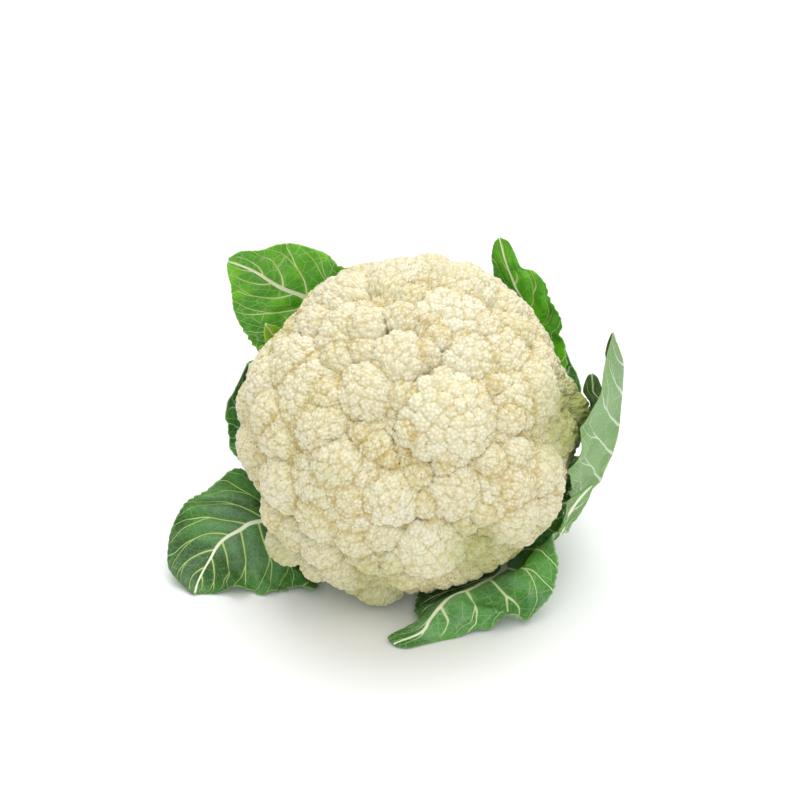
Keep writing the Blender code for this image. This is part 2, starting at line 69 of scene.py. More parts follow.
# %% [markdown]
# ## Where the head is
#
# The part rests on its lowest florets, and the record gives that spot. Everything is placed from
# the head's centre: the florets sit round it, and the picture of the real thing was measured
# through it. One picture step is 0.475 mm at the head.

# %% Head and view
REST_TO_CENTRE = np.array([14.015, 37.654, 75.5])
rest = next(mount for mount in frame["record"]["mounts"] if mount["name"] == "rest")
HEAD_CENTRE = np.array(rest["pos_m"]) / MM + REST_TO_CENTRE
HEAD_RADIUS = 85.0
HEAD_AXIS = np.array([0.1, -0.5, 0.86])
HEAD_AXIS = HEAD_AXIS / np.linalg.norm(HEAD_AXIS)
CORE_RADIUS = 70.0
UNDERSIDE_RADIUS = 47.0
CURD_EDGE = 116.0
UNDERSIDE_EDGE = 138.0

VIEW_DISTANCE = 900.0
VIEW_ANGLE = radians(30.0)
VIEW_STEP = 0.475
VIEW_MIDDLE = (410.0, 429.0)
PICTURE = 800.0
ACROSS = np.array([1.0, 0.0, 0.0])
UPWARD = np.array([0.0, sin(VIEW_ANGLE), cos(VIEW_ANGLE)])
TOWARD = np.array([0.0, -cos(VIEW_ANGLE), sin(VIEW_ANGLE)])
print("head centre", HEAD_CENTRE.round(2))


def unit(vectors):
    """Each vector divided by its own length."""
    vectors = np.asarray(vectors, float)
    return vectors / np.linalg.norm(vectors, axis=-1, keepdims=True)


def sight_line(px, py):
    """The eye, and the run from it to the head's plane, for a place in the picture."""
    eye = VIEW_DISTANCE * TOWARD
    aim = (px - VIEW_MIDDLE[0]) * VIEW_STEP * ACROSS + (VIEW_MIDDLE[1] - py) * VIEW_STEP * UPWARD
    return eye, aim - eye


# %% [markdown]
# ## The floor, the light and the camera
#
# The real thing lies on white in a soft light from above and in front. A wide pale floor, a white
# sky and two very wide, far lamps give that: one lamp alone leaves the near side of the head too
# dark, and narrow lamps would draw hard shadows. The camera looks down by thirty degrees with a long
# lens, and a small lens shift puts the head where the picture has it.

# %% Stage
FLOOR_REACH = 6.0
SKY = (0.95, 0.98, 1.0, 1.0)
SKY_STRENGTH = 0.56
SENSOR_WIDTH = 36.0

# Far lamps: name, direction of the source, spread in degrees, and strength
LAMPS = [
    ("above", (0.1, 0.33, 1.0), 55.0, 1.68),
    ("front", (0.1, -0.55, 0.8), 50.0, 1.10),
]


def make_floor():
    """A flat pale square, wide enough to reach past the picture."""
    reach = FLOOR_REACH
    mesh = bpy.data.meshes.new("floor")
    mesh.from_pydata([(-reach, -reach, 0), (reach, -reach, 0), (reach, reach, 0), (-reach, reach, 0)],
                     [], [(0, 1, 2, 3)])
    floor = bpy.data.objects.new("floor", mesh)
    bpy.context.scene.collection.objects.link(floor)
    return floor


def make_lamp(name, source, spread, strength):
    """A very soft far white lamp, from the direction of its source, as wide in the sky as its spread."""
    data = bpy.data.lights.new(name, "SUN")
    data.angle = radians(spread)
    data.energy = strength
    lamp = bpy.data.objects.new(name, data)
    lamp.location = source
    lamp.rotation_euler = lamp.location.to_track_quat("Z", "Y").to_euler()
    bpy.context.scene.collection.objects.link(lamp)


def make_camera():
    """The camera at the picture's distance and height of eye, with a lens shift for its framing."""
    data = bpy.data.cameras.new("camera")
    data.sensor_width = SENSOR_WIDTH
    data.lens = SENSOR_WIDTH * VIEW_DISTANCE / (PICTURE * VIEW_STEP)
    data.shift_x = (PICTURE / 2.0 - VIEW_MIDDLE[0]) / PICTURE
    data.shift_y = (VIEW_MIDDLE[1] - PICTURE / 2.0) / PICTURE
    camera = bpy.data.objects.new("camera", data)
    camera.location = (HEAD_CENTRE + VIEW_DISTANCE * TOWARD) * MM
    camera.rotation_euler = (pi / 2.0 - VIEW_ANGLE, 0.0, 0.0)
    bpy.context.scene.collection.objects.link(camera)
    bpy.context.scene.camera = camera
    return camera


def make_sky():
    """An even, nearly white sky."""
    world = bpy.data.worlds.new("sky")
    world.use_nodes = True
    background = world.node_tree.nodes["Background"]
    background.inputs["Color"].default_value = SKY
    background.inputs["Strength"].default_value = SKY_STRENGTH
    bpy.context.scene.world = world


floor = make_floor()
for lamp in LAMPS:
    make_lamp(*lamp)
camera = make_camera()
make_sky()
bpy.context.scene.view_settings.view_transform = "Standard"
print("lamps", len(LAMPS), "lens", round(camera.data.lens, 2), "mm")

# %% [markdown]
# ## Arithmetic for finishes
#
# A finish is a small net of shader nodes. Written as sums and products it stays readable, so one
# class wraps a number socket and turns each operator into a Math node.

# %% Shader values
class Value:
    """A number on its way through a finish; arithmetic on it adds Math nodes."""

    def __init__(self, finish, socket):
        self.finish = finish
        self.socket = socket

    def math(self, operation, *terms):
        """The result of one Math node, with each term a value or a number."""
        node = self.finish.node("ShaderNodeMath", {"operation": operation}, dict(enumerate(terms)))
        return Value(self.finish, node.outputs[0])

    def __add__(self, other):
        return self.math("ADD", self, other)

    def __radd__(self, other):
        return self.math("ADD", other, self)

    def __sub__(self, other):
        return self.math("SUBTRACT", self, other)

    def __rsub__(self, other):
        return self.math("SUBTRACT", other, self)

    def __mul__(self, other):
        return self.math("MULTIPLY", self, other)

    def __rmul__(self, other):
        return self.math("MULTIPLY", other, self)

    def __truediv__(self, other):
        return self.math("DIVIDE", self, other)

    def absolute(self):
        return self.math("ABSOLUTE", self)

    def most(self, other):
        """The larger of two values."""
        return self.math("MAXIMUM", self, other)

    def least(self, other):
        """The smaller of two values."""
        return self.math("MINIMUM", self, other)

    def nearest_whole(self):
        """Distance to the nearest whole number, from 0 to one half."""
        return self.math("PINGPONG", self, 0.5)

    def fade(self, low, high):
        """From 0 at low to 1 at high, easing in and out; falls instead where high is the smaller."""
        turned = low > high
        start, end = (high, low) if turned else (low, high)
        node = self.finish.node("ShaderNodeMapRange", {"interpolation_type": "SMOOTHSTEP"},
                                {"Value": self, "From Min": start, "From Max": end})
        eased = Value(self.finish, node.outputs["Result"])
        return 1.0 - eased if turned else eased


class Finish:
    """A material under construction: its node tree, and the few ways used here to add to it."""

    def __init__(self, name):
        self.material = bpy.data.materials.new(name)
        self.material.use_nodes = True
        self.tree = self.material.node_tree
        self.shader = self.tree.nodes["Principled BSDF"]
        self.place = self.node("ShaderNodeTexCoord", {}, {}).outputs["Object"]

    def node(self, kind, settings, inputs):
        """A node with its settings set first, then its sockets given values or links."""
        node = self.tree.nodes.new(kind)
        for key, setting in settings.items():
            setattr(node, key, setting)
        self.feed(node, inputs)
        return node

    def feed(self, node, inputs):
        """Values or links put on a node's sockets, named by number or word."""
        for key, given in inputs.items():
            socket = node.inputs[key]
            if isinstance(given, Value):
                given = given.socket
            if isinstance(given, bpy.types.NodeSocket):
                self.tree.links.new(given, socket)
            elif isinstance(given, tuple) and len(given) == 3 and socket.type == "RGBA":
                socket.default_value = (*given, 1.0)
            else:
                socket.default_value = given

    def attribute(self, name):
        """A number that the mesh carries on its points."""
        node = self.node("ShaderNodeAttribute", {"attribute_name": name}, {})
        return Value(self, node.outputs["Fac"])

    def noise(self, scale, detail=3.0, rough=0.5):
        """Cloudy noise from 0 to 1, scale in waves per metre."""
        node = self.node("ShaderNodeTexNoise", {},
                         {"Vector": self.place, "Scale": scale, "Detail": detail, "Roughness": rough})
        return Value(self, node.outputs[0])

    def cells(self, scale, feature="F1", place=None):
        """Cell pattern: the distance to the nearest seed, or to the nearest wall."""
        node = self.node("ShaderNodeTexVoronoi", {"feature": feature},
                         {"Vector": place or self.place, "Scale": scale})
        return Value(self, node.outputs["Distance"])

    def mix(self, share, first, second):
        """Colour between two colours."""
        node = self.node("ShaderNodeMix", {"data_type": "RGBA"}, {0: share, 6: first, 7: second})
        return node.outputs[2]

    def bump(self, height, distance, strength):
        """Fine relief: a height of one stands for the distance, in metres."""
        inputs = {"Height": height, "Distance": distance, "Strength": strength}
        return self.node("ShaderNodeBump", {}, inputs).outputs["Normal"]

    def surface(self, **inputs):
        """Values or links for the main shader's sockets, with underscores for spaces."""
        self.feed(self.shader, {key.replace("_", " "): given for key, given in inputs.items()})
        return self.material


def floor_finish():
    """Plain matt white, a very little uneven in tone."""
    finish = Finish("floor")
    tone = finish.noise(3.0, 2.0)
    colour = finish.mix(tone, (0.94, 0.945, 0.95), (0.96, 0.96, 0.96))
    return finish.surface(Base_Color=colour, Roughness=0.6)


floor.data.materials.append(floor_finish())
print("floor finish nodes", len(floor.active_material.node_tree.nodes))

# %% [markdown]
# ## Where the florets are
#
# The florets of the front were measured in the picture: place, radius, and how far each stands out
# of the round of the head. The hidden side is filled by the golden-angle rule, as in the part.

# %% Floret places
# Florets seen: across and down in the picture, radius in steps, lift in millimetres
FLORETS = [
    (443, 419, 50, 5), (401, 321, 18, 1), (400, 360, 26, 1), (426, 354, 15, -1), (467, 362, 27, 1),
    (438, 339, 15, 0), (431, 323, 12, 0), (367, 392, 26, 1), (341, 359, 19, 0), (363, 351, 15, 0),
    (325, 424, 27, 1), (327, 395, 18, 1), (305, 367, 32, 1), (273, 386, 27, 1), (249, 398, 18, 0),
    (253, 446, 19, 0), (277, 415, 25, 1), (346, 305, 31, 2), (365, 328, 18, 3), (317, 326, 21, 1),
    (360, 280, 17, -1), (387, 288, 18, 0), (411, 299, 15, 0), (433, 273, 24, 1), (460, 299, 37, 2),
    (492, 284, 23, 0), (506, 309, 23, 1), (513, 333, 19, 1), (535, 337, 22, 0), (541, 360, 19, 0),
    (484, 331, 19, 1), (523, 391, 33, 2), (492, 386, 12, 0), (508, 417, 17, 1), (499, 435, 13, -4),
    (556, 434, 23, -3), (561, 396, 22, -2), (577, 409, 18, -1), (491, 463, 18, 0), (513, 453, 17, 1),
    (509, 485, 22, 3), (538, 470, 23, 2), (541, 503, 23, 2), (511, 515, 25, 3), (482, 512, 14, 1),
    (553, 487, 14, 0), (523, 531, 17, 0), (453, 490, 25, 1), (443, 467, 12, -2), (418, 475, 15, -3),
    (426, 502, 15, -2), (428, 539, 35, 3), (465, 523, 13, -1), (470, 543, 17, -4), (497, 550, 20, -4),
    (341, 465, 26, 2), (388, 497, 26, 2), (352, 497, 20, 2), (324, 514, 25, 2), (290, 482, 28, 1),
    (280, 514, 20, 1), (279, 552, 20, 0), (357, 533, 22, 1), (381, 531, 19, 1), (322, 545, 22, 1),
    (298, 531, 20, 1), (341, 564, 19, 0), (313, 572, 16, -1), (375, 446, 18, -3), (362, 434, 13, -3),
    (387, 459, 12, -4), (377, 583, 24, 0), (404, 574, 16, -1), (356, 581, 16, -1), (394, 557, 16, 0),
    (370, 562, 13, 0), (402, 396, 16, -2), (410, 432, 15, 0),
]

# Broad swellings under several florets: across and down of the top, radius in steps, lift in millimetres
MASSES = [
    (458, 308, 62, 0), (512, 345, 50, 0), (342, 320, 50, 0), (298, 388, 62, 0), (334, 508, 84, 0),
    (518, 490, 60, 0.5), (372, 572, 50, -3), (524, 392, 46, 0), (262, 430, 44, -1),
]

# The head's outline from the front: angle from the right, turning upward, and reach in picture steps
OUTLINE = [
    (0, 173), (6, 183), (11, 176), (18, 166), (25, 163), (40, 171), (60, 176), (78, 181),
    (92, 173), (104, 173), (115, 178), (130, 165), (142, 154), (155, 172), (172, 179), (190, 175),
    (200, 162), (212, 179), (224, 192), (237, 182), (252, 184), (262, 182), (268, 173), (273, 158),
    (279, 151), (289, 150), (298, 157), (306, 165), (315, 168), (330, 172), (346, 164), (353, 167),
    (360, 173),
]

# Hidden florets: how many are tried, their middle radius, how far inside the curd's edge they stop in
# degrees, and how near the front florets and the side that faces the eye they may come
HIDDEN_COUNT = 112
HIDDEN_RADIUS = 15.0
HIDDEN_MARGIN = 6.0
HIDDEN_GAP = 0.45
FACING_EYE = 0.35


def frame_about(axis):
    """Three directions at right angles, the last along the axis, as rows."""
    side = unit(np.cross(axis, [0.31, 0.93, 0.2]))
    return np.array([side, np.cross(axis, side), axis])


def spiral(count, axis, widest):
    """Directions spread evenly by the golden angle round an axis, out to the widest angle in degrees."""
    step = np.arange(count) + 0.5
    height = 1.0 - step / count * (1.0 - cos(radians(widest)))
    turn = step * GOLDEN_ANGLE
    ring = np.sqrt(1.0 - height ** 2)
    return np.stack([ring * np.cos(turn), ring * np.sin(turn), height], axis=1) @ frame_about(axis)


def on_head(px, py, radius):
    """Place seen at a picture point, at a distance from the head's centre, or the nearest to it."""
    eye, run = sight_line(px, py)
    nearest = eye - (eye @ run) / (run @ run) * run
    spare = radius ** 2 - nearest @ nearest
    return nearest if spare <= 0.0 else nearest - unit(run) * spare ** 0.5


def on_outline(balls):
    """Balls moved sideways, as seen from the front, until none reaches past the head's outline."""
    toward = balls[:, :3] @ TOWARD
    near = VIEW_DISTANCE / (VIEW_DISTANCE - toward) / VIEW_STEP
    flat = np.stack([balls[:, :3] @ ACROSS, balls[:, :3] @ UPWARD], axis=1)
    far = np.linalg.norm(flat, axis=1)
    angle = np.degrees(np.arctan2(flat[:, 1], flat[:, 0])) % 360.0
    reach = np.interp(angle, *np.transpose(OUTLINE))
    excess = np.maximum((far + balls[:, 3]) * near - reach, 0.0) / near
    shift = -flat / far[:, None] * excess[:, None]
    moved = balls.copy()
    moved[:, :3] += shift[:, :1] * ACROSS + shift[:, 1:] * UPWARD
    return moved


def as_balls(table):
    """Centres, relative to the head's centre, and radii from rows of a table of picture places."""
    balls = []
    for px, py, steps, lift in table:
        radius = steps * VIEW_STEP
        balls.append([*on_head(px, py, HEAD_RADIUS + lift - radius), radius])
    return on_outline(np.array(balls))


def swellings():
    """Centres and radii of the broad swellings, each under the place where its top is seen."""
    balls = []
    for px, py, steps, lift in MASSES:
        radius = steps * VIEW_STEP
        top = unit(on_head(px, py, HEAD_RADIUS))
        balls.append([*(top * (HEAD_RADIUS + lift - radius)), radius])
    return on_outline(np.array(balls))


def place_florets():
    """The florets that the picture shows, and those of the hidden side."""
    front = as_balls(FLORETS)
    rng = np.random.default_rng(7)
    hidden = []
    for direction in spiral(HIDDEN_COUNT, HEAD_AXIS, CURD_EDGE - HIDDEN_MARGIN):
        radius = HIDDEN_RADIUS * rng.uniform(0.8, 1.15)
        lift = rng.uniform(-2.0, 2.0)
        shift = rng.normal(0.0, 0.05, 3)
        centre = unit(direction + shift) * (HEAD_RADIUS + lift - radius)
        gap = np.linalg.norm(front[:, :3] - centre, axis=1) - 0.75 * front[:, 3]
        if direction @ TOWARD < FACING_EYE and gap.min() > HIDDEN_GAP * radius:
            hidden.append([*centre, radius])
    return front, on_outline(np.array(hidden))


front_florets, hidden_florets = place_florets()
masses = swellings()
florets = np.vstack([front_florets, hidden_florets])
print("florets seen", len(front_florets), "hidden", len(hidden_florets))


def core_radius(rays, top=CORE_RADIUS):
    """Radius of the core: full at the top, smaller underneath, with an easy change between."""
    polar = np.degrees(np.arccos(np.clip(rays @ HEAD_AXIS, -1.0, 1.0)))
    fade = np.clip((polar - CURD_EDGE) / (UNDERSIDE_EDGE - CURD_EDGE), 0.0, 1.0)
    fade = fade * fade * (3.0 - 2.0 * fade)
    return top + (UNDERSIDE_RADIUS - top) * fade


# %% [markdown]
# ## How a curd grows
#
# A floret is a dome covered in smaller domes, and each of those is covered in smaller ones again.
# The youngest are the smallest, at the top, and they are set at the golden angle, like the seeds of
# a sunflower. So one rule is used three times, for lobes, twigs and grains: set balls at
# golden-angle steps round a parent, and for lobes small at its top and larger at its rim. A child's
# centre lies inside its parent's sphere by less than the child's radius, so its top stands out and a
# crease is left between neighbours. A ball whose top is buried too deep is left out, and a smaller
# ball inside each parent closes the gaps between its children.

# %% Growth rules
# Spacing of neighbours in ball radii, how uneven their radii are, and how far they stray
SPACING = 1.58
UNEVEN = (0.84, 1.16)
STRAY = 0.12

# How much smaller than a floret its dome is, in millimetres
STANDS_OUT = 1.6

# Lobes: radius at the tip and at the rim as shares of the dome, the limits of both, and the radius
# from which a lobe carries twigs
LOBE_TIP = 0.17
LOBE_RIM = 0.36
SMALLEST_LOBE = 3.0
LARGEST_LOBE = 7.2
BRANCHED = 5.7

# Twigs: radius at the tip and at the rim as shares of the lobe
TWIG_TIP = 0.46
TWIG_RIM = 0.58

# Grains: radius on a carrier of no size, its growth with the carrier's radius, and the shares of it
# that are used at the tip and at the rim
GRAIN = 1.12
GRAIN_GROWTH = 0.09
GRAIN_TIP = 0.92
GRAIN_RIM = 1.08

# How far round its parent each kind reaches in degrees, its sunk share, and how deep a top may be
# buried, in radii
LOBE_SPREAD, LOBE_SUNK = 86.0, 0.8
TWIG_SPREAD, TWIG_SUNK = 96.0, 0.85
GRAIN_SPREAD, GRAIN_SUNK = 100.0, 0.45
BRANCH_SLACK = 0.4
GRAIN_SLACK = 0.5

# The bed of small balls between florets, and the balls that close the gaps
CORE_TOP = 77.0
BED_COUNT = 620
BED_RADIUS = 5.0
DOME_FILL = 0.36
LOBE_FILL = 0.22
TWIG_FILL = 0.1

# Floret radii, and how many times wider the dome's curve is made there
FLATTER = ((6.0, 12.0, 24.0), (1.15, 1.34, 1.06))

# Area of a hexagon as a share of the square of its width
HEXAGON = 0.866


def flattened(balls):
    """Balls of a flatter curve, with the top left in its place; the largest keep most of their curve."""
    far = np.linalg.norm(balls[:, :3], axis=1)
    top = far + balls[:, 3]
    radius = balls[:, 3] * np.interp(balls[:, 3], *FLATTER)
    return np.column_stack([balls[:, :3] * ((top - radius) / far)[:, None], radius])


def sizes_by_angle(parent, tip, rim, widest):
    """Angles from the top and radii of the balls on one parent.

    The radius grows from tip to rim with the angle. The count up to an angle is the area of the cap
    divided by the hexagon that a ball there needs, and the balls sit at the half steps of that count.
    """
    angle = np.linspace(0.0, radians(widest), 60)
    radius = tip + (rim - tip) * angle / angle[-1]
    need = 2.0 * pi * parent ** 2 * np.sin(angle) / (HEXAGON * (SPACING * radius) ** 2)
    count = np.concatenate([[0.0], np.cumsum((need[1:] + need[:-1]) / 2.0 * np.diff(angle))])
    steps = np.arange(max(1, round(count[-1]))) + 0.5
    at = np.interp(steps * count[-1] / len(steps), count, angle)
    return at, np.interp(at, angle, radius)


def bear(parents, axes, tip, rim, widest, rng, sunk):
    """Children of every parent ball, and their own axes, at golden-angle steps round the parent's axis.

    A child's centre lies inside its parent's sphere by the sunk share of its own radius, so the rest
    of its radius stands out of the parent.
    """
    children, ways = [], []
    for parent, axis, low, high in zip(parents, axes, tip, rim):
        angle, radius = sizes_by_angle(parent[3], low, high, widest)
        radius = radius * rng.uniform(*UNEVEN, len(radius))
        turn = np.arange(len(angle)) * GOLDEN_ANGLE + rng.uniform(0.0, 2.0 * pi)
        out = np.stack([np.sin(angle) * np.cos(turn), np.sin(angle) * np.sin(turn), np.cos(angle)], axis=1)
        out = unit(out @ frame_about(axis) + rng.normal(0.0, STRAY, out.shape) * (low / parent[3]))
        place = parent[:3] + out * (parent[3] - sunk * radius)[:, None]
        children.append(np.column_stack([place, radius]))
        ways.append(out)
    return np.vstack(children), np.vstack(ways)


def two_exits(rays, balls, chunk=1024):
    """Farthest and second farthest distance at which each ray leaves a ball.

    A ray d from the origin leaves the ball of centre c and radius r at d.c + sqrt(r2 - c.c + (d.c)2).
    Rays are taken in chunks of neighbours, each with only the balls that its cone can meet.
    """
    far = np.maximum(np.linalg.norm(balls[:, :3], axis=1), 1e-6)
    aim = balls[:, :3] / far[:, None]
    half = np.arcsin(np.minimum(balls[:, 3] / far, 1.0))
    first, second = np.zeros(len(rays)), np.zeros(len(rays))
    for start in range(0, len(rays), chunk):
        part = rays[start:start + chunk]
        middle = unit(part.mean(axis=0))
        cone = np.arccos(np.clip((part @ middle).min(), -1.0, 1.0))
        near = balls[aim @ middle > np.cos(np.minimum(half + cone, pi))]
        if len(near) < 2:
            continue
        along = part @ near[:, :3].T
        inside = near[:, 3] ** 2 - (near[:, :3] ** 2).sum(1) + along * along
        reach = np.where(inside > 0.0, along + np.sqrt(np.maximum(inside, 0.0)), 0.0)
        pair = np.partition(reach, -2, axis=1)[:, -2:]
        first[start:start + chunk], second[start:start + chunk] = pair[:, 1], pair[:, 0]
    return first, second


def showing(balls, axes, others, slack):
    """Which balls have their outermost point outside the others, or buried by no more than the slack."""
    tops = balls[:, :3] + axes * balls[:, 3:]
    far = np.linalg.norm(tops, axis=1)
    return far > two_exits(tops / far[:, None], others)[0] - slack * balls[:, 3]


def grow_curd():
    """All balls of the curd by level: domes, lobes, the twigs and small lobes that carry grains, grains."""
    rng = np.random.default_rng(11)
    domes = np.vstack([flattened(florets), masses])
    domes[:, 3] -= STANDS_OUT
    bed = spiral(BED_COUNT, HEAD_AXIS, CURD_EDGE) * (CORE_TOP - BED_RADIUS)
    domes = np.vstack([domes, np.column_stack([bed, np.full(len(bed), BED_RADIUS)])])
    rim = np.clip(LOBE_RIM * domes[:, 3], 1.25 * SMALLEST_LOBE, LARGEST_LOBE)
    tip = np.clip(LOBE_TIP * domes[:, 3], SMALLEST_LOBE, LARGEST_LOBE / 2.0)
    lobes, axes = bear(domes, unit(domes[:, :3]), tip, rim, LOBE_SPREAD, rng, LOBE_SUNK)
    keep = showing(lobes, axes, domes, BRANCH_SLACK)
    lobes, axes = lobes[keep], axes[keep]
    large = lobes[:, 3] > BRANCHED
    size = lobes[large, 3]
    twigs, twig_axes = bear(lobes[large], axes[large], TWIG_TIP * size, TWIG_RIM * size,
                            TWIG_SPREAD, rng, TWIG_SUNK)
    keep = showing(twigs, twig_axes, lobes, BRANCH_SLACK)
    carriers = np.vstack([lobes[~large], twigs[keep]])
    carrier_axes = np.vstack([axes[~large], twig_axes[keep]])
    size = GRAIN + GRAIN_GROWTH * carriers[:, 3]
    grains, grain_axes = bear(carriers, carrier_axes, size * GRAIN_TIP, size * GRAIN_RIM,
                              GRAIN_SPREAD, rng, GRAIN_SUNK)
    keep = showing(grains, grain_axes, carriers, GRAIN_SLACK)
    fills = [np.column_stack([domes[:, :3], domes[:, 3] - DOME_FILL * rim]),
             np.column_stack([lobes[large, :3], (1.0 - LOBE_FILL) * lobes[large, 3]]),
             np.column_stack([carriers[:, :3], carriers[:, 3] - TWIG_FILL * GRAIN])]
    print("domes", len(domes), "lobes", len(lobes), "carriers", len(carriers), "grains", keep.sum())
    return domes, lobes, carriers, grains[keep], np.vstack(fills)


domes, lobes, carriers, grains, fills = grow_curd()

# %% [markdown]
# ## The curd's surface
#
# Seen from the head's centre every point of the curd is the last ball that a ray leaves, so the
# surface is a height over directions. A square grid is wrapped round the side that faces the eye so
# that all its squares keep the same area: the square becomes a disc, and the disc a cap. A coarser
# cap covers the far side. Below the curd's edge the ribbed flesh of the branches takes over.

# %% Curd surface
# Ribs under the curd: how many, their depth as a share of the radius, and the angle over which they
# start below the curd's edge, in degrees
RIBS = 11.0
RIB_DEPTH = 0.035
RIB_START = 12.0
SURFACE_KINDS = ("grain", "lobe", "gap", "depth", "shade")

# Painted shade and green light from the leaves: across and down in the picture, radius in steps, and share
PAINTED_SHADE = [
    (585, 408, 34, 1.0), (572, 434, 28, 0.9), (478, 553, 28, 0.72), (505, 555, 22, 0.5),
    (545, 535, 18, 0.3), (375, 592, 38, 0.5), (300, 525, 60, 0.12), (272, 556, 26, 0.42),
]

# How soon the crease guides fall off, in millimetres of exit difference, and the twigs' share in lobe
GRAIN_CREASE = 0.8
LOBE_CREASE = 1.2
TWIG_CREASE = 0.9
GAP_CREASE = 2.2
TWIG_SHARE = 0.6

# The height over which depth grows from 0 to 1, and the depth given to the flesh under the curd
DEPTH_SPAN = 11.0
BARE_DEPTH = 0.2


def cap_grid(cells, widest):
    """Directions of a square grid wrapped on a cap about +Z, all cells of one area.

    A point of the square at ring r and side angle t goes to the disc at the same r, and the disc's
    r goes to the polar angle whose cap has the share r squared of the whole cap.
    """
    line = np.linspace(-1.0, 1.0, cells + 1)
    a, b = np.meshgrid(line, line)
    ring = np.maximum(np.abs(a), np.abs(b))
    safe = np.where(ring > 0.0, ring, 1.0)
    wide = np.abs(a) >= np.abs(b)
    from_side = b * np.sign(a) / safe * pi / 4.0
    from_top = pi / 2.0 * np.sign(b) - a * np.sign(b) / safe * pi / 4.0
    turn = np.where(wide, from_side, from_top)
    turn = turn + np.where(wide & (a < 0.0), pi, 0.0)
    height = 1.0 - ring ** 2 * (1.0 - cos(widest))
    flat = np.sqrt(np.maximum(1.0 - height ** 2, 0.0))
    return np.stack([flat * np.cos(turn), flat * np.sin(turn), height], axis=-1).reshape(-1, 3)


def grid_faces(rows, columns):
    """Squares of a grid of points, turning so that they face the side that the cap's top faces."""
    corner = np.arange(rows * columns).reshape(rows, columns)
    square = [corner[:-1, :-1], corner[:-1, 1:], corner[1:, 1:], corner[1:, :-1]]
    return np.stack(square, axis=-1).reshape(-1, 4)


def border(rows, columns):
    """Numbers of the grid's outer points, once round, in the turn of the faces."""
    corner = np.arange(rows * columns).reshape(rows, columns)
    return np.concatenate([corner[0, :-1], corner[:-1, -1], corner[-1, :0:-1], corner[:0:-1, 0]])


def tile_order(side, size=32):
    """Order that takes the points of a square grid tile by tile, so that neighbours stay together."""
    row, column = np.divmod(np.arange(side * side), side)
    return np.lexsort((column // size, row // size))


def underside(rays):
    """Radius of the flesh under the curd, with a low rib under each branch, and how far under it is."""
    side, other, up = (rays @ frame_about(HEAD_AXIS).T).T
    turn = np.arctan2(other, side)
    under = np.clip((np.degrees(np.arccos(np.clip(up, -1.0, 1.0))) - CURD_EDGE) / RIB_START, 0.0, 1.0)
    rib = np.abs(np.sin(turn * RIBS / 2.0 + 0.4 * np.sin(3.0 * turn))) ** 0.6
    return core_radius(rays, CORE_TOP - 2.0) * (1.0 + RIB_DEPTH * under * (rib - 1.0)), under


def painted_shade_of(points):
    """Share of painted shade at each point: the largest bell round a place of painted shade, near side only.
    """
    toward = points @ TOWARD
    near = VIEW_DISTANCE / (VIEW_DISTANCE - toward) / VIEW_STEP
    across = VIEW_MIDDLE[0] + points @ ACROSS * near
    down = VIEW_MIDDLE[1] - points @ UPWARD * near
    shade = [share * np.exp(-((across - px) ** 2 + (down - py) ** 2) / steps ** 2)
             for px, py, steps, share in PAINTED_SHADE]
    return np.max(shade, axis=0) * np.clip(toward / 20.0 + 1.0, 0.0, 1.0)


def crease_guide(rays, balls, width):
    """Farthest exit of each ray, and e to the power of minus the exit difference over a width."""
    first, second = two_exits(rays, balls)
    return first, np.exp((second - first) / width)


def curd_surface(cells, widest, axis):
    """A square grid of points on the curd about an axis, and the colour guides of each.

    grain, lobe and gap are 1 in the crease between two balls of that level and fall off with the
    difference of their exits; depth grows from 0 at the round of the head to 1 at the core; shade is
    the share of painted shade, tinted green, where the leaves shade the curd.
    """
    side = cells + 1
    order = tile_order(side)
    rays = (cap_grid(cells, widest) @ frame_about(axis))[order]
    plain, under = underside(rays)
    top, grain = crease_guide(rays, grains, GRAIN_CREASE)
    lobe = crease_guide(rays, lobes, LOBE_CREASE)[1]
    twig = crease_guide(rays, carriers, TWIG_CREASE)[1]
    gap = crease_guide(rays, domes, GAP_CREASE)[1]
    lobe = np.maximum(lobe, TWIG_SHARE * twig)
    reach = np.maximum(np.maximum(top, two_exits(rays, fills)[0]), plain)
    depth = np.clip((HEAD_RADIUS + 1.0 - reach) / DEPTH_SPAN, 0.0, 1.0)
    bare = (reach <= plain) & (under > 0.0)
    guides = [np.where(bare, 0.0, values) for values in (grain, lobe, gap)]
    guides.append(np.where(bare, BARE_DEPTH, depth))
    points = rays * reach[:, None]
    table = np.column_stack([points, *guides, painted_shade_of(points)])
    grid = np.empty_like(table)
    grid[order] = table
    return grid.reshape(side, side, -1)


# %% [markdown]
# ## The curd's finish
#
# The tops of the grains are ivory with a breath of yellow. The creases between them are painted tan, as
# painted shade with a warm glow, and the gaps between florets are painted a little darker, as deeper
# painted shade; small brown specks lie there. The tan is mostly the grain guide times the others, so it
# stays in thin lines. Light goes a little way into the flesh, so the shader has some subsurface
# scattering. Broad noise tints some florets pink and some yellow. Where the leaves shade the curd, it is
# painted a dull green, as painted shade.

# %% Curd finish
IVORY = (0.875, 0.85, 0.65)
PALE = (0.895, 0.88, 0.72)
BUTTER = (0.87, 0.84, 0.55)
ROSE = (0.875, 0.815, 0.65)
# The crease tan and the dark gap colour below are painted shade
CREASE_SHADE_TAN = (0.57, 0.42, 0.105)
GAP_SHADE = (0.36, 0.25, 0.075)
BROWN = (0.20, 0.11, 0.03)
# Painted shade, tinted by green light from the leaves
LEAF_SHADE_GREEN = (0.40, 0.43, 0.13)


